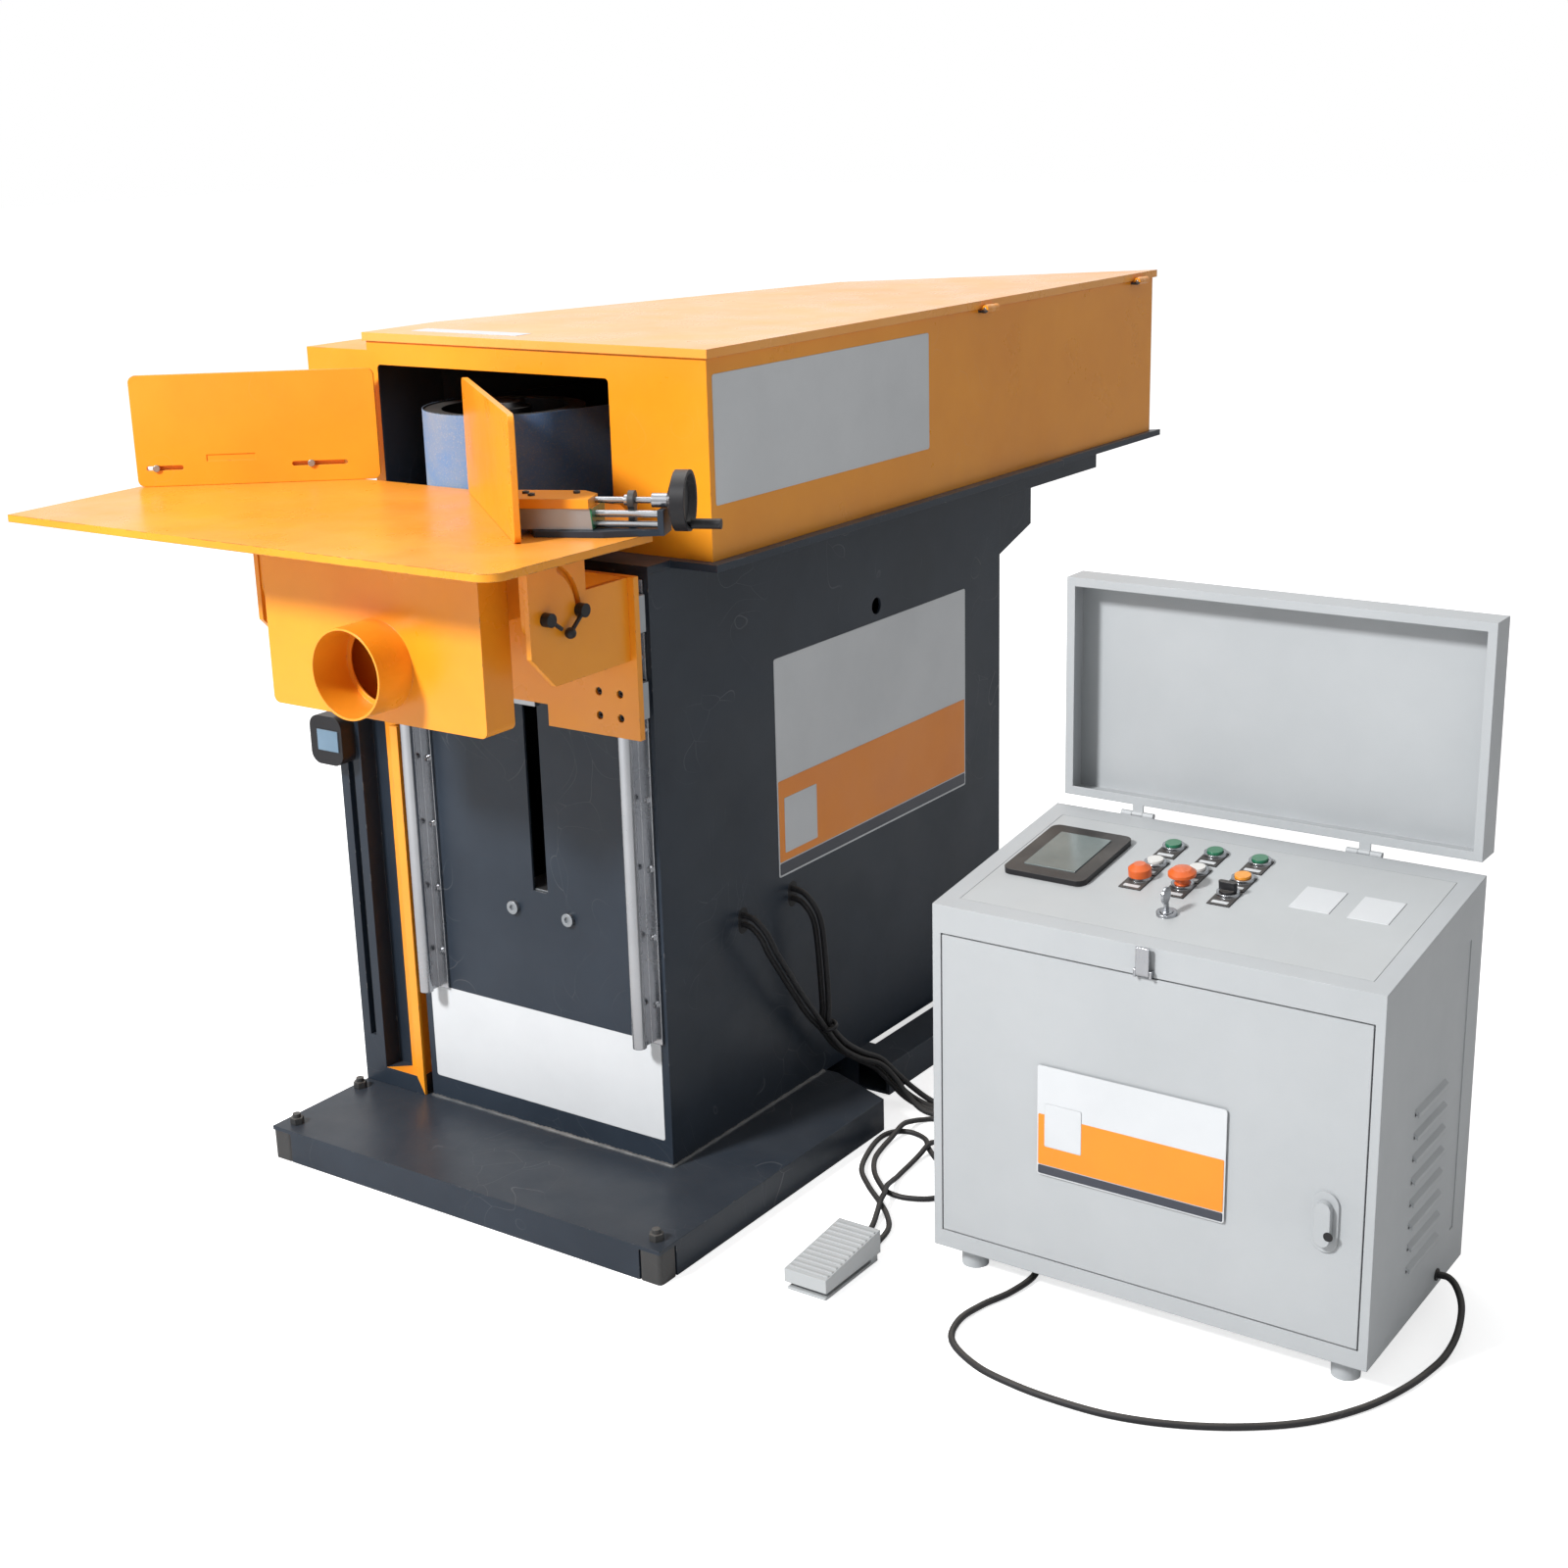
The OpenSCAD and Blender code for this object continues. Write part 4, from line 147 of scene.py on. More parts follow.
both = add(wear, "Math", {0: edge.outputs[0], 1: hard.outputs[0]}, operation="MULTIPLY")
wear.links.new(both.outputs[0], result["Mask"])

# %% Uneven patches
patches, given, result = new_group("Patches", {"Scale": 4.0})
place = add(patches, "TexCoord").outputs["Object"]
cloud = add(patches, "TexNoise", {"Vector": place, "Scale": given["Scale"], "Detail": 5.0,
                                  "Roughness": 0.6})
spread = add(patches, "MapRange", {"Value": cloud.outputs[0], "From Min": 0.35, "From Max": 0.65})
patches.links.new(spread.outputs[0], result["Mask"])

# %% Fine scratches
scratches, given, result = new_group("Scratches", {"Scale": 9.0, "Amount": 0.5})
place = add(scratches, "TexCoord").outputs["Object"]
bend = add(scratches, "TexNoise", {"Vector": place, "Scale": 3.0})
moved = add(scratches, "VectorMath", {0: place, 1: bend.outputs["Color"]}, operation="ADD")
stretch = add(scratches, "Mapping", {"Vector": moved.outputs[0], "Scale": (1.0, 1.6, 0.25)})
cells = add(scratches, "TexVoronoi", {"Vector": stretch.outputs[0], "Scale": given["Scale"]},
            feature="DISTANCE_TO_EDGE")
line = add(scratches, "MapRange", {"Value": cells.outputs["Distance"], "From Min": 0.006,
                                   "From Max": 0.0})
where = add(scratches, "TexNoise", {"Vector": place, "Scale": 6.0})
some = add(scratches, "MapRange", {"Value": where.outputs[0], "From Min": 0.5, "From Max": 0.62})
kept = add(scratches, "Math", {0: line.outputs[0], 1: some.outputs[0]}, operation="MULTIPLY")
total = add(scratches, "Math", {0: kept.outputs[0], 1: given["Amount"]}, operation="MULTIPLY")
scratches.links.new(total.outputs[0], result["Mask"])

# %% Dust
dust, given, result = new_group("Dust", {"Amount": 0.3})
facing = add(dust, "SeparateXYZ", {"Vector": add(dust, "NewGeometry").outputs["Normal"]})
upward = add(dust, "MapRange", {"Value": facing.outputs["Z"], "From Min": 0.6, "From Max": 1.0})
place = add(dust, "TexCoord").outputs["Object"]
drift = add(dust, "TexNoise", {"Vector": place, "Scale": 14.0, "Detail": 8.0})
settled = add(dust, "Math", {0: upward.outputs[0], 1: drift.outputs[0]}, operation="MULTIPLY")
layer = add(dust, "Math", {0: settled.outputs[0], 1: given["Amount"]}, operation="MULTIPLY")
dust.links.new(layer.outputs[0], result["Mask"])
print("shared effects:", [g.name for g in bpy.data.node_groups])

# %% [markdown]
# ## Finishes
# One recipe serves paint, plastic and metal: two close tones in patches, then scratches, dust and
# worn edges over them, each with its own colour. Smaller patches move the roughness, and fine noise
# gives the surface its grain, as sprayed powder coat or moulded plastic has.

# %% Finish recipe
MIX_AMOUNT, MIX_UNDER, MIX_OVER, MIX_RESULT = 0, 6, 7, 2    # the Mix node's sockets for colours
DUST_COLOUR = (0.46, 0.42, 0.37)
MID_GREY = 0.5              # a scratch is halfway between this and the paint
BLOTCH_SCALE = 2.3          # roughness patches to one colour patch
GLOSS_SPREAD = 0.12
EDGE_RADIUS = 0.0015        # every edge is shaded as if rounded this much, in metres
GRAIN_HEIGHT = 0.001


def mask(tree, group, **values):
    made = add(tree, "Group")
    made.node_tree = group
    for name, value in values.items():
        made.inputs[name].default_value = value
    return made.outputs[0]


def cover(tree, under, colour, amount):
    made = add(tree, "Mix", {MIX_AMOUNT: amount, MIX_UNDER: under, MIX_OVER: (*colour, 1)},
               data_type="RGBA")
    return made.outputs[MIX_RESULT]


def finish(name, colour, tone, rough, metal=0.0, bare=(0.5, 0.5, 0.5), worn=0.3, scratched=0.3,
           dusty=0.2, grain=400.0, bump=0.02, specular=0.5, patch=4.0):
    material = bpy.data.materials.new(name)
    material.use_nodes = True
    tree = material.node_tree
    shader = tree.nodes["Principled BSDF"]
    pale = tuple((c + MID_GREY) / 2 for c in colour)
    base = cover(tree, (*colour, 1), tone, mask(tree, patches, Scale=patch))
    base = cover(tree, base, pale, mask(tree, scratches, Amount=scratched))
    base = cover(tree, base, DUST_COLOUR, mask(tree, dust, Amount=dusty))
    base = cover(tree, base, bare, mask(tree, wear, Amount=worn))
    tree.links.new(base, shader.inputs["Base Color"])
    place = add(tree, "TexCoord").outputs["Object"]
    fine = add(tree, "TexNoise", {"Vector": place, "Scale": grain, "Detail": 2.0})
    blotch = mask(tree, patches, Scale=patch * BLOTCH_SCALE)
    gloss = add(tree, "MapRange", {"Value": blotch, "To Min": rough,
                                   "To Max": rough + GLOSS_SPREAD})
    tree.links.new(gloss.outputs[0], shader.inputs["Roughness"])
    soft = add(tree, "Bevel", {"Radius": EDGE_RADIUS}, samples=4)
    relief = add(tree, "Bump", {"Height": fine.outputs[0], "Strength": bump,
                                "Distance": GRAIN_HEIGHT, "Normal": soft.outputs[0]})
    tree.links.new(relief.outputs[0], shader.inputs["Normal"])
    shader.inputs["Metallic"].default_value = metal
    shader.inputs["Specular IOR Level"].default_value = specular
    return material


# %% Paints
ORANGE, DARK_STEEL, BARE_STEEL = (0.84, 0.32, 0.015), (0.2, 0.2, 0.2), (0.3, 0.3, 0.3)
orange_paint = finish("orange paint", ORANGE, (0.77, 0.275, 0.012), 0.27,
                      bare=(0.12, 0.07, 0.04), worn=0.38, scratched=0.12, dusty=0.05, bump=0.05)
knocked_paint = finish("knocked orange paint", ORANGE, (0.77, 0.27, 0.012), 0.25,
                       bare=(0.06, 0.035, 0.02), worn=0.52, dusty=0.1, bump=0.05)
# The lid's paint is paler than the orange paint and gathers more dust on top: both are a painted
# highlight, standing in for the light on the lid's top.
lid_paint_painted_highlight = finish("orange lid paint with painted highlight", (0.85, 0.39, 0.09), (0.84, 0.34, 0.05), 0.24,
                   scratched=0.1, dusty=0.35, bump=0.05)
slate_paint = finish("slate paint", (0.022, 0.031, 0.045), (0.015, 0.022, 0.033), 0.3,
                     bare=DARK_STEEL, worn=0.36, scratched=0.25, dusty=0.06, bump=0.06,
                     specular=0.28)
cabinet_paint = finish("cabinet grey paint", (0.42, 0.44, 0.455), (0.39, 0.41, 0.425), 0.42,
                       worn=0.2, scratched=0.1, dusty=0.1, bump=0.12, grain=700.0)
panel_paint = finish("panel grey paint", (0.44, 0.46, 0.47), (0.41, 0.43, 0.44), 0.38,
                     worn=0.15, dusty=0.1)
print("paints ready")

# %% Metals and rubber
chrome = finish("chrome", (0.42, 0.43, 0.45), (0.34, 0.35, 0.37), 0.16,
                metal=1.0, worn=0.1, dusty=0.1)
bright_steel = finish("bright steel", (0.38, 0.385, 0.39), (0.30, 0.31, 0.32), 0.28,
                      metal=1.0, worn=0.1)
aluminium = finish("aluminium", (0.36, 0.38, 0.40), (0.29, 0.31, 0.33), 0.38,
                   metal=1.0, worn=0.1, grain=900.0)
black_iron = finish("black iron", (0.02, 0.021, 0.023), (0.03, 0.03, 0.03), 0.45,
                    bare=DARK_STEEL, bump=0.15)
weld_metal = finish("weld bead", (0.035, 0.042, 0.05), (0.10, 0.10, 0.10), 0.4,
                    bare=BARE_STEEL, worn=0.5)
rubber = finish("rubber", (0.010, 0.010, 0.012), (0.016, 0.016, 0.017), 0.5,
                worn=0.1, scratched=0.1, bump=0.1, specular=0.3)

# %% Plastics and films
black_plastic = finish("black plastic", (0.008, 0.008, 0.010), (0.012, 0.012, 0.014), 0.35,
                       worn=0.1, scratched=0.1, specular=0.3)
green_plastic = finish("green plastic", (0.01, 0.17, 0.08), (0.012, 0.14, 0.07), 0.25,
                       worn=0.0, scratched=0.1)
white_plastic = finish("white plastic", (0.68, 0.68, 0.66), (0.62, 0.62, 0.60), 0.3,
                       worn=0.0, scratched=0.1)
yellow_plastic = finish("yellow plastic", (0.85, 0.33, 0.02), (0.78, 0.28, 0.02), 0.25,
                        worn=0.0, scratched=0.1)
red_plastic = finish("orange red plastic", (0.72, 0.13, 0.015), (0.60, 0.10, 0.012), 0.25,
                     worn=0.0, scratched=0.1)
electrics = finish("electrics", (0.5, 0.5, 0.48), (0.4, 0.4, 0.4), 0.45)
screen = finish("display screen", (0.16, 0.20, 0.20), (0.10, 0.13, 0.13), 0.12,
                worn=0.0, scratched=0.0)
label_white = finish("blank white film", (0.60, 0.62, 0.64), (0.55, 0.57, 0.59), 0.3,
                     worn=0.2, scratched=0.1, bump=0.01)
label_orange = finish("orange film", (0.84, 0.26, 0.01), (0.78, 0.23, 0.01), 0.3,
                      worn=0.1, scratched=0.1)
label_dark = finish("dark film", (0.03, 0.035, 0.05), (0.04, 0.045, 0.06), 0.3,
                    worn=0.1, scratched=0.1)
label_blue = finish("pale blue film", (0.16, 0.25, 0.34), (0.10, 0.17, 0.24), 0.35)

# %% [markdown]
# ## Abrasive belt finish
# Grit glued on blue cloth: a dense speckle, worn grey where the work rubs. Small cells give some of
# the grains a paler colour, over a grain that stands out more than that of any paint.

# %% Abrasive belt finish
GRAINS_PER_METRE = 700.0
abrasive = finish("abrasive belt", (0.11, 0.23, 0.46), (0.22, 0.28, 0.36), 0.75,
                  bare=BARE_STEEL, worn=0.45, grain=900.0, bump=0.6, patch=9.0)
tree = abrasive.node_tree
place = add(tree, "TexCoord").outputs["Object"]
grit = add(tree, "TexVoronoi", {"Vector": place, "Scale": GRAINS_PER_METRE})
chance = add(tree, "SeparateXYZ", {"Vector": grit.outputs["Color"]})
speck = add(tree, "MapRange", {"Value": chance.outputs[0], "From Min": 0.8, "From Max": 0.95,
                               "To Max": 0.6})
shader = tree.nodes["Principled BSDF"]
under = shader.inputs["Base Color"].links[0].from_socket
speckled = cover(tree, under, (0.30, 0.33, 0.38), speck.outputs[0])
tree.links.new(speckled, shader.inputs["Base Color"])

# %% [markdown]
# ## Finishes on the CAD pieces
# The record says which slot each piece belongs to, and each slot has one finish. A CAD piece that
# joins two materials, such as a chrome rod in a painted block, gets the second one on those faces
# alone: the faces are picked by where their middle lies, and no vertex moves.

# %% Finish for each slot
slots = {"orange_paint": orange_paint, "slate_paint": slate_paint, "cabinet_paint": cabinet_paint,
         "panel_paint": panel_paint, "bright_steel": bright_steel, "chrome": chrome,
         "aluminium": aluminium, "black_iron": black_iron, "black_plastic": black_plastic,
         "rubber": rubber, "abrasive": abrasive, "green_plastic": green_plastic,
         "white_plastic": white_plastic, "yellow_plastic": yellow_plastic,
         "red_plastic": red_plastic, "electrics": electrics}
for part in frame["record"]["subparts"]:
    mesh = nodes[part["node"]].data
    mesh.materials.clear()
    mesh.materials.append(slots[part["material_slot"]])
# The lid takes the paint whose paler colour and heavier dust are a painted highlight.
nodes["housing_lid"].data.materials[0] = lid_paint_painted_highlight
nodes["table_top"].data.materials[0] = knocked_paint
for name in ("pedal_top", "pedal_base"):
    nodes[name].data.materials[0] = panel_paint
print("finished", len(nodes), "pieces in", len(slots), "slots")


# %% Second finish on some faces
def paint_faces(name, material, chosen, towards=None):
    mesh = nodes[name].data
    mesh.materials.append(material)
    count = 0
    for face in mesh.polygons:
        if chosen(face.center) and (towards is None or face.normal.dot(towards - face.center) > 0):
            face.material_index = len(mesh.materials) - 1
            count += 1
    print(name, "has", count, "faces of", material.name)


# %% Rails and limit switch
RAIL_ROD_Y = -0.4925        # the chrome rods stand out beyond this
GUARD_LEFT, GUARD_BACK, GUARD_LOW = -0.2915, -0.4465, 0.0795
SWITCH_RIGHT, SWITCH_BACK = -0.2715, -0.4775
SWITCH_FACE = 0.0012        # depth of the pale label on the switch
switch_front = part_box("limit_post")[0].y
paint_faces("linear_rails", chrome, lambda p: p.y < RAIL_ROD_Y)
paint_faces("limit_post", orange_paint,
            lambda p: p.x > GUARD_LEFT and p.y < GUARD_BACK and p.z > GUARD_LOW)
paint_faces("limit_post", black_plastic, lambda p: p.x < SWITCH_RIGHT and p.y < SWITCH_BACK)
paint_faces("limit_post", label_blue, lambda p: p.y < switch_front + SWITCH_FACE)

# %% Painted shade inside the head, and fence screws
# Inside the head, the faces that look towards its middle get black iron as painted shade.
HEAD_MIDDLE, HEAD_FLOOR, HEAD_CEILING = Vector((-0.05, -0.15, 1.05)), 0.93, 1.187
FENCE_END, FENCE_ANGLE = Vector((-0.553, -0.643, 0)), math.radians(38.4)
FENCE_FACE, FENCE_FOOT = 0.0001, 0.996    # screws stand out of the one and above the other
fence_out = Vector((math.sin(FENCE_ANGLE), -math.cos(FENCE_ANGLE), 0))
paint_faces("belt_housing", black_iron, lambda p: HEAD_FLOOR < p.z < HEAD_CEILING, HEAD_MIDDLE)
paint_faces("table_brackets", bright_steel,
            lambda p: (p - FENCE_END).dot(fence_out) > FENCE_FACE and p.z > FENCE_FOOT)

# %% [markdown]
# ## Slide of the right fence
# The slide stands on the table at an angle, so its faces are sorted in its own directions: along
# its screw, across it and up. Rods are chrome, the top plate orange with black screws, and the
# block ends in a green wiper.

# %% Slide
SLIDE_AT, SLIDE_ANGLE = Vector((0.155, -0.660, 0.995)), math.radians(24)
DECK_TOP, RODS_TOP, BLOCK_TOP, PLATE_TOP = 0.0085, 0.0325, 0.0349, 0.0472
RODS_END, SCREW_START, CAP_START, WIPER_START = 0.1645, 0.1735, 0.2045, 0.1135
SCREW_Y, SCREW_REACH = -0.012, 0.007
slide_turn = Matrix.Rotation(-SLIDE_ANGLE, 3, "Z")


def in_slide(point):
    return slide_turn @ (point - SLIDE_AT)


def on_foot_or_cap(point):
    p = in_slide(point)
    return p.z < DECK_TOP or p.x > CAP_START


def on_rod(point):
    p = in_slide(point)
    on_screw = SCREW_START < p.x < CAP_START and abs(p.y - SCREW_Y) < SCREW_REACH
    return DECK_TOP < p.z < RODS_TOP and (p.x < RODS_END or on_screw)


def on_wiper(point):
    p = in_slide(point)
    return p.x > WIPER_START and p.z < BLOCK_TOP


paint_faces("slide_base", slate_paint, on_foot_or_cap)
paint_faces("slide_base", chrome, on_rod)
paint_faces("slide_carriage", green_plastic, on_wiper)
paint_faces("slide_carriage", orange_paint, lambda p: in_slide(p).z > BLOCK_TOP)
paint_faces("slide_carriage", black_iron, lambda p: in_slide(p).z > PLATE_TOP)

# %% [markdown]
# ## Switches on the control panel
# The panel slopes towards the operator, so its faces are sorted in its own plane as well. Legends
# and display are black, bezels chrome and the two small plates white. What stands before the
# panel's front edge is chrome too.

# %% Control panel
PANEL_AT = Vector((0.646, -0.438, 0.519))
SLOPE = math.atan2(0.042, 0.337)
BUTTONS = [(x, y) for x in (0.211, 0.270, 0.332) for y in (0.265, 0.211, 0.166)]
RED_BUTTON, KEY = BUTTONS[2], (0.285, 0.088)
SKIN = 0.0002               # faces this far above the sheet stand on it
LEGEND_REACH, LEGEND_LOW, LEGEND_HIGH = 0.017, -0.033, 0.011
DISPLAY_RIGHT, DISPLAY_LOW, SCREEN_RISE = 0.157, 0.112, 0.0082
PLATES_LEFT = 0.405
BEZEL_REACH, CAP_REACH, CAP_RISE = 0.0146, 0.0156, 0.0052
panel_turn = Matrix.Rotation(-SLOPE, 3, "X")


def on_panel(point):
    return panel_turn @ (point - PANEL_AT)


def near(p, places, reach):
    return any(math.hypot(p.x - x, p.y - y) < reach for x, y in places)


def legend(point):
    p = on_panel(point)
    return p.z > SKIN and any(abs(p.x - x) < LEGEND_REACH and LEGEND_LOW < p.y - y < LEGEND_HIGH
                              for x, y in BUTTONS)


def display(point):
    p = on_panel(point)
    return p.z > SKIN and p.x < DISPLAY_RIGHT and p.y > DISPLAY_LOW


def small_plate(point):
    p = on_panel(point)
    return p.z > SKIN and p.x > PLATES_LEFT


def bezel(point):
    p = on_panel(point)
    return p.z > SKIN and near(p, BUTTONS + [KEY], BEZEL_REACH)


def red_cap(point):
    p = on_panel(point)
    return p.z > CAP_RISE and near(p, [RED_BUTTON], CAP_REACH)


paint_faces("control_panel", black_plastic, lambda p: legend(p) or display(p))
paint_faces("control_panel", screen, lambda p: display(p) and on_panel(p).z > SCREEN_RISE)
paint_faces("control_panel", label_white, small_plate)
paint_faces("control_panel", chrome, lambda p: bezel(p) or p.y < PANEL_AT.y - SKIN)
paint_faces("control_panel", red_plastic, red_cap)

# %% [markdown]
# ## Belt
# Grit is only on the outside. Faces nearer the wheels than the outer skin get the dark cloth of
# the belt's back.

# %% Belt back
WHEEL_A, WHEEL_B = Vector((-0.138, -0.315)), Vector((0.0898, 0.535))
BACK_R = 0.1169             # between the radius of the belt's back and that of its grit
between_wheels = WHEEL_B - WHEEL_A
span = between_wheels.normalized()


def back_of_belt(point):
    offset = Vector(point[:2]) - WHEEL_A
    along = min(max(offset.dot(span), 0), between_wheels.length)
    return (offset - along * span).length < BACK_R


paint_faces("abrasive_belt", rubber, back_of_belt)

# %% [markdown]
# ## Added pieces
# Each added piece is an object in the scene's collection that rides on a body of the frame. Welds,
# cables and the tie are curves with a thickness.


# %% Object helpers
def put(name, data):
    made = bpy.data.objects.new(name, data)
    bpy.context.collection.objects.link(made)
    return made


def new_curve(name, radius):
    curve = bpy.data.curves.new(name, "CURVE")
    curve.dimensions = "3D"
    curve.bevel_depth = radius
    return curve


# %% [markdown]
# ## Frayed edge
# The belt's cloth frays along its top edge. Thin ribbons of cloth stand on that edge round the
# front wheel. Their lengths come from two sine waves and their lean from two more, so that they
# look uneven but are always the same.

# %% Frayed edge
THREADS, THREAD_W, THREAD_H, BELT_R = 150, 0.0005, 0.0022, 0.1174
FRINGE_START, FRINGE_ARC = 0.95, 1.1      # in half turns round the front wheel
LEAN, TIP_W = 0.4, 0.3                    # shares of the thread's height and width
belt_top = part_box("abrasive_belt")[1].z
fringe = bmesh.new()
for i in range(THREADS):
    angle = math.pi * (FRINGE_START + FRINGE_ARC * i / THREADS)
    foot = WHEEL_A + BELT_R * Vector((math.cos(angle), math.sin(angle)))
    side = THREAD_W * Vector((-math.sin(angle), math.cos(angle), 0))
    height = THREAD_H * (0.6 + 0.5 * math.sin(i * 1.9) * math.sin(i * 0.37 + 1))
    lean = LEAN * height
    root = Vector((*foot, belt_top))
    tip = root + Vector((lean * math.sin(i), lean * math.cos(i * 2.3), height))
    ribbon = (root - side, root + side, tip + TIP_W * side, tip - TIP_W * side)
    fringe.faces.new([fringe.verts.new(v) for v in ribbon])
fringe_mesh = bpy.data.meshes.new("belt_fringe")
fringe.to_mesh(fringe_mesh)
fringe.free()
fringe_mesh.materials.append(label_blue)
belt_fringe = put("belt_fringe", fringe_mesh)
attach(belt_fringe, "machine_frame")
print("frayed edge of", THREADS, "threads")

# %% [markdown]
# ## Blank films
# The real machine carries stickers. They stay bare here: a white film with rounded corners, and on
# two of them plain blocks of colour. Each is a thin plate whose outline goes round twice, on the
# paint and above it, so that its edge shows. Its faces are listed one by one, which keeps their
# order the same in every run.

# %% Film
FILM = 0.0003               # thickness, in metres
CORNER_STEPS = 4


def film(name, corner, across, upward, size, body, material=label_white, radius=0.004, rise=0.0):
    across, upward = Vector(across), Vector(upward)
    out = across.cross(upward)
    rim = []
    for cx, cy, start in ((1, 0, -90), (1, 1, 0), (0, 1, 90), (0, 0, 180)):
        for step in range(CORNER_STEPS + 1):
            angle = math.radians(start + step * 90 / CORNER_STEPS)
            x = cx * size[0] + (1 - 2 * cx) * radius + radius * math.cos(angle)
            y = cy * size[1] + (1 - 2 * cy) * radius + radius * math.sin(angle)
            rim.append(Vector(corner) + x * across + y * upward + rise * out)
    count = len(rim)
    sides = [(i, (i + 1) % count, (i + 1) % count + count, i + count) for i in range(count)]
    bottom, top = range(count)[::-1], range(count, 2 * count)
    data = bpy.data.meshes.new(name)
    data.from_pydata(rim + [point + FILM * out for point in rim], [], [bottom, top, *sides])
    data.materials.append(material)
    made = put(name, data)
    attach(made, body)


# %% Films on the machine
X, Y, Z = (1, 0, 0), (0, 1, 0), (0, 0, 1)
HEAD_RIGHT, COLUMN_RIGHT, COLUMN_FRONT = 0.292, 0.232, -0.470
lid_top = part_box("housing_lid")[1].z
film("column_front_film", (-0.220, COLUMN_FRONT, 0.089), X, Z, (0.439, 0.151), "machine_frame")
film("head_film", (HEAD_RIGHT, -0.394, 0.995), Y, Z, (0.542, 0.172), "machine_frame")
film("lid_film", (-0.26, -0.37, lid_top), X, Y, (0.20, 0.035), "head_lid")
film("column_side_film", (COLUMN_RIGHT, -0.189, 0.402), Y, Z, (0.544, 0.333), "machine_frame")

# %% Blocks of colour on the column's film
# Each has its start along and up the film, its size, its colour and its layer over the film.
BLOCK_R = 0.002
column_blocks = {"band": (-0.186, 0.425, (0.538, 0.125), label_orange, 1),
                 "strip": (-0.186, 0.405, (0.538, 0.018), label_dark, 1),
                 "square": (-0.172, 0.437, (0.085, 0.085), label_white, 2)}
for kind, (along, low, size, colour, layer) in column_blocks.items():
    film(f"column_side_{kind}", (COLUMN_RIGHT, along, low), Y, Z, size, "machine_frame", colour,
         BLOCK_R, layer * FILM)

# %% Films on the cabinet door
door_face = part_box("cabinet_door")[0].y
film("door_film", (0.801, door_face, 0.181), X, Z, (0.258, 0.152), "door")
door_blocks = {"band": (0.803, 0.196, (0.254, 0.070), label_orange, 1),
               "strip": (0.803, 0.183, (0.254, 0.012), label_dark, 1),
               "square": (0.812, 0.222, (0.052, 0.060), label_white, 2)}
for kind, (along, low, size, colour, layer) in door_blocks.items():
    film(f"door_{kind}", (along, door_face, low), X, Z, size, "door", colour,
         BLOCK_R, layer * FILM)

# %% Lock barrel in the door's handle
BARREL, BARREL_UP, ROUND = 0.012, 0.010, 0.49
handle_low, handle_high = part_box("door_handle")
barrel_left = (handle_low.x + handle_high.x - BARREL) / 2
film("lock_barrel", (barrel_left, handle_low.y, handle_low.z + BARREL_UP), X, Z,
     (BARREL, BARREL), "door_lock", black_plastic, BARREL * ROUND)

# %% Inlays under the switches
INLAY_W, INLAY_H, INLAY_R = 0.022, 0.007, 0.001
INLAY_DOWN, INLAY_RISE = 0.028, 0.0015
panel_up = Vector((0, math.cos(SLOPE), math.sin(SLOPE)))
panel_out = Vector((0, -math.sin(SLOPE), math.cos(SLOPE)))
for i, (x, y) in enumerate(BUTTONS):
    left = PANEL_AT + Vector((x - INLAY_W / 2, 0, 0))
    corner = left + (y - INLAY_DOWN) * panel_up + INLAY_RISE * panel_out
    film(f"legend_inlay_{i + 1}", corner, X, panel_up, (INLAY_W, INLAY_H), "machine_frame",
         label_white, INLAY_R)

# %% [markdown]
# ## Weld bead
# The column is welded to its base plate. A bead is a row of small frozen puddles: a curve whose
# thickness swells and shrinks every few millimetres gives that ripple.

# %% Weld bead
FOOT_BACK, BEAD, RIPPLE = -0.080, 0.0035, 0.004
SWELL, DRIFT = 0.28, 0.15   # shares of the bead's radius, from ripple to ripple and slowly
foot_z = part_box("base_plate")[1].z
route = ((-COLUMN_RIGHT, FOOT_BACK), (-COLUMN_RIGHT, COLUMN_FRONT),
         (COLUMN_RIGHT, COLUMN_FRONT), (COLUMN_RIGHT, FOOT_BACK))
corners = [Vector((x, y, foot_z)) for x, y in route]
points = []
for a, b in zip(corners, corners[1:]):
    count = int((b - a).length / RIPPLE)
    points += [a.lerp(b, i / count) for i in range(count)]
bead_curve = new_curve("weld_bead", BEAD)
bead_curve.bevel_resolution = 2
spline = bead_curve.splines.new("POLY")
spline.points.add(len(points) - 1)
for i, point in enumerate(points):
    spline.points[i].co = (*point, 1)
    spline.points[i].radius = 1.0 + SWELL * (i % 2) + DRIFT * math.sin(i * 0.7)
bead_curve.materials.append(weld_metal)
bead = put("weld_bead", bead_curve)
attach(bead, "machine_frame")
print("weld bead of", len(points), "ripples")

# %% [markdown]
# ## Cables
# Three cables run from the column to the glands behind the cabinet, one loops in front of it, and
# two cords join the pedal. Each is a curve through the same points as its CAD solid, so that it
# bends smoothly and keeps its real length.

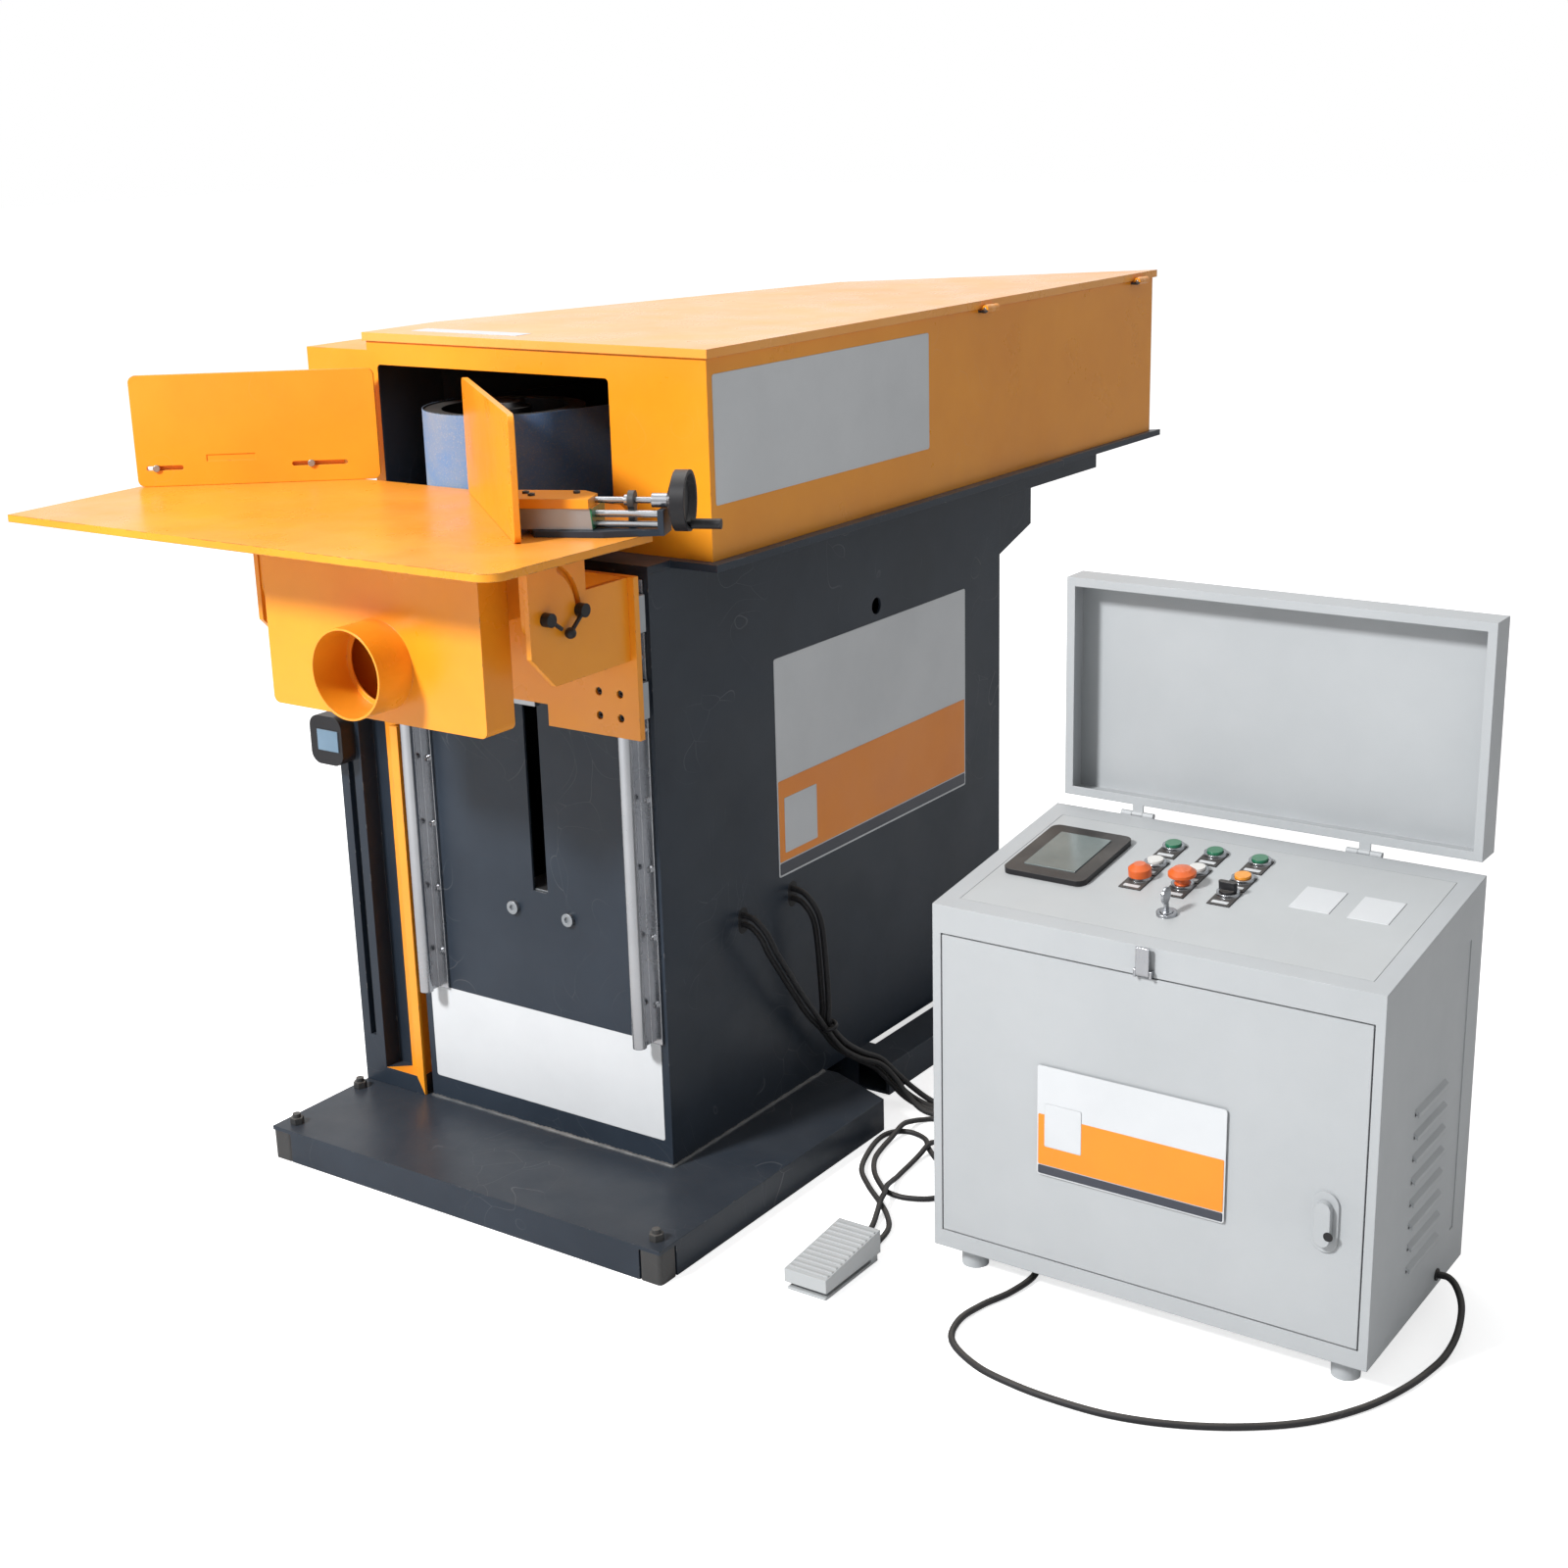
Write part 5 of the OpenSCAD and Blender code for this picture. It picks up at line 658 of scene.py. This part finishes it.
# %% Cable routes in millimetres
cable_route_1 = [
    [232, -283, 360], [238, -283, 360], [250, -283, 356], [263, -281, 342], [268, -272, 318],
    [268, -245, 280], [267, -210, 233], [266, -175, 188], [266, -139, 151], [269, -104, 109],
    [278, -68, 80], [302, -43, 58], [324, -37, 37], [350, -35, 17], [382, -33, 6],
    [420, -33, 5], [520, -33, 5], [620, -33, 5], [700, -33, 5], [736, -34, 12],
    [758, -38, 32], [770, -46, 58], [775, -58, 80], [776, -74, 92], [776, -87, 95],
    [776, -99, 95]]
cable_route_2 = [
    [232, -156, 361], [238, -156, 361], [250, -156, 357], [263, -155, 343], [268, -151, 322],
    [268, -144, 280], [267, -137, 220], [266, -133, 185], [266, -131, 159], [269, -96, 117],
    [278, -60, 88], [298, -33, 62], [324, -26, 37], [350, -24, 17], [382, -22, 6],
    [420, -22, 5], [540, -22, 5], [660, -22, 5], [760, -22, 5], [796, -23, 12],
    [818, -28, 32], [830, -37, 58], [835, -52, 80], [836, -70, 92], [836, -86, 95],
    [836, -99, 95]]
cable_route_3 = [
    [232, -156, 376], [240, -156, 376], [256, -156, 371], [273, -155, 352], [280, -151, 326],
    [280, -144, 280], [279, -137, 220], [277, -133, 185], [277, -131, 159], [280, -96, 117],
    [289, -60, 88], [306, -33, 70], [332, -26, 47], [356, -18, 26], [386, -11, 8],
    [420, -11, 5], [540, -11, 5], [660, -11, 5], [790, -11, 5], [826, -12, 12],
    [848, -18, 32], [860, -28, 58], [865, -44, 80], [866, -64, 92], [866, -84, 95],
    [866, -99, 95]]
loop_route = [
    [232, -283, 374], [240, -283, 374], [256, -283, 369], [273, -280, 350], [280, -270, 322],
    [280, -243, 284], [279, -208, 236], [278, -172, 192], [277, -139, 151], [280, -104, 109],
    [290, -69, 81], [310, -43, 66], [332, -37, 47], [356, -40, 26], [386, -44, 8],
    [420, -44, 5], [490, -44, 5], [560, -44, 6], [580, -46, 12], [598, -54, 16],
    [614, -66, 16], [630, -82, 12], [641, -102, 6], [648, -125, 5], [654, -155, 5],
    [672, -205, 5], [706, -265, 5], [748, -335, 5], [774, -392, 5], [770, -450, 5],
    [754, -500, 5], [748, -548, 5], [766, -596, 5], [820, -630, 5], [880, -643, 5],
    [941, -646, 5], [1010, -640, 5], [1080, -618, 5], [1150, -580, 5], [1210, -530, 5],
    [1255, -465, 5], [1282, -395, 5], [1295, -330, 5], [1298, -290, 8], [1297, -258, 18],
    [1290, -228, 34], [1276, -207, 46], [1262, -198, 52], [1248, -198, 52]]
pedal_route_1 = [
    [553, -462, 5], [552, -442, 5], [543, -392, 5], [520, -358, 5],
    [490, -330, 5], [448, -295, 5], [412, -256, 5], [390, -200, 5], [381, -155, 5],
    [388, -128, 5], [410, -116, 5], [440, -124, 5], [463, -150, 5], [500, -182, 5],
    [540, -212, 5], [560, -248, 5], [548, -282, 5], [514, -300, 5], [484, -299, 5],
    [468, -289, 5], [436, -258, 5], [413, -222, 5], [402, -185, 5], [398, -150, 8],
    [397, -118, 15], [397, -92, 10], [405, -68, 5], [430, -56, 5], [520, -55, 5],
    [600, -55, 5], [660, -55, 5], [696, -55, 11], [716, -56, 28], [728, -59, 52],
    [733, -66, 76], [735, -78, 90], [736, -90, 95], [736, -99, 95]]
pedal_route_2 = [
    [531, -462, 5], [530, -440, 5], [520, -398, 5], [508, -366, 8],
    [498, -340, 14], [490, -318, 13], [482, -298, 14], [475, -275, 9], [470, -248, 5],
    [466, -212, 5], [464, -178, 8], [464, -151, 14], [466, -124, 8], [473, -96, 5],
    [492, -74, 5], [530, -66, 5], [580, -66, 5], [620, -66, 5], [656, -66, 11],
    [676, -66, 28], [688, -68, 54], [694, -74, 76], [696, -83, 91], [696, -90, 95],
    [696, -99, 95]]

# %% Cables
CABLE, PEDAL_CORD = 0.009, 0.008


def cable(name, route, diameter, node):
    curve = new_curve(name, diameter / 2)
    curve.bevel_resolution = 4
    curve.resolution_u = 6
    path = [Vector(p) / 1000 for p in route]
    last = len(path) - 1
    spline = curve.splines.new("BEZIER")
    spline.bezier_points.add(last)
    lowest = min(p.z for p in path)
    # A handle points from the last knot to the next and is a third of a step long. It never goes
    # below the lowest knot, so that no curve dips into the floor.
    for i, knot in enumerate(spline.bezier_points):
        reach = (path[min(i + 1, last)] - path[max(i - 1, 0)]) / 6
        knot.co = path[i]
        knot.handle_left_type = knot.handle_right_type = "FREE"
        for side, shift in (("handle_left", -reach), ("handle_right", reach)):
            grip = path[i] + shift
            grip.z = max(grip.z, lowest)
            setattr(knot, side, grip)
    curve.materials.append(rubber)
    made = put(name, curve)
    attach(made, "machine_frame")
    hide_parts(node)


cable("machine_cable_1", cable_route_1, CABLE, "machine_cables")
cable("machine_cable_2", cable_route_2, CABLE, "machine_cables")
cable("machine_cable_3", cable_route_3, CABLE, "machine_cables")
cable("front_loop_cable", loop_route, CABLE, "loop_cable")
cable("pedal_cord_1", pedal_route_1, PEDAL_CORD, "pedal_cords")
cable("pedal_cord_2", pedal_route_2, PEDAL_CORD, "pedal_cords")

# %% Cable tie
TIE_AT, TIE_R, TIE_SIDES = Vector((0.2725, -0.133, 0.157)), 0.017, 12
STRAP, FLATTEN = 0.0035, 0.6
tie_turn = Vector((0, 0.45, -0.9)).to_track_quat("Z", "Y")    # looks along the bundle
tie_curve = new_curve("cable_tie", STRAP)
tie_ring = tie_curve.splines.new("NURBS")
tie_ring.points.add(TIE_SIDES - 1)
for i in range(TIE_SIDES):
    angle = 2 * math.pi * i / TIE_SIDES
    around = tie_turn @ Vector((math.cos(angle), FLATTEN * math.sin(angle), 0))
    tie_ring.points[i].co = (*(TIE_AT + TIE_R * around), 1)
tie_ring.use_cyclic_u = True
tie_curve.materials.append(black_plastic)
tie = put("cable_tie", tie_curve)
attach(tie, "machine_frame")

# %% [markdown]
# ## Studio
# A wide pale floor and a white surround. To the camera, and in mirrors and glass, the surround is
# plain white, while as light it is much dimmer, so that one large lamp from the front left gives
# the object its shape.

# %% Floor
REACH = 30
GLOW = 0.68                 # lifts the floor towards white, in the camera's eyes alone
floor_mesh = bpy.data.meshes.new("studio_floor")
square = [(-REACH, -REACH, 0), (REACH, -REACH, 0), (REACH, REACH, 0), (-REACH, REACH, 0)]
floor_mesh.from_pydata(square, [], [(0, 1, 2, 3)])
floor = put("studio_floor", floor_mesh)
floor_finish = bpy.data.materials.new("studio floor")
floor_finish.use_nodes = True
tree = floor_finish.node_tree
ground = tree.nodes["Principled BSDF"]
ground.inputs["Base Color"].default_value = (0.8, 0.8, 0.8, 1)
ground.inputs["Roughness"].default_value = 0.9
ground.inputs["Emission Color"].default_value = (1, 1, 1, 1)
seen = add(tree, "LightPath")
glow = add(tree, "Math", {0: seen.outputs["Is Camera Ray"], 1: GLOW}, operation="MULTIPLY")
tree.links.new(glow.outputs[0], ground.inputs["Emission Strength"])
floor_mesh.materials.append(floor_finish)

# %% Surround
AS_LIGHT, AS_SEEN = 0.38, 1.0
world = bpy.data.worlds.new("studio")
world.use_nodes = True
bpy.context.scene.world = world
tree = world.node_tree
rays = add(tree, "LightPath").outputs
shown = add(tree, "Math", {0: rays["Is Camera Ray"], 1: rays["Is Glossy Ray"]},
            operation="MAXIMUM")
shown = add(tree, "Math", {0: shown.outputs[0], 1: rays["Is Transmission Ray"]},
            operation="MAXIMUM")
level = add(tree, "MapRange", {"Value": shown.outputs[0], "To Min": AS_LIGHT, "To Max": AS_SEEN})
surround = tree.nodes["Background"]
surround.inputs["Color"].default_value = (1, 1, 1, 1)
tree.links.new(level.outputs[0], surround.inputs["Strength"])


# %% Lamps
def lamp(name, place, target, size, power):
    data = bpy.data.lights.new(name, "AREA")
    data.shape = "DISK"
    data.size = size
    data.energy = power
    made = put(name, data)
    made.location = place
    aim = Vector(target) - Vector(place)
    made.rotation_euler = aim.to_track_quat("-Z", "Y").to_euler()


lamp("key", (-1.2, -4.7, 4.1), (0.3, 0, 0.6), size=0.9, power=430)
lamp("top", (-0.4, 0.6, 4.5), (0.2, 0, 0.6), size=3.0, power=60)
bpy.context.scene.view_settings.view_transform = "Standard"
print("studio ready")
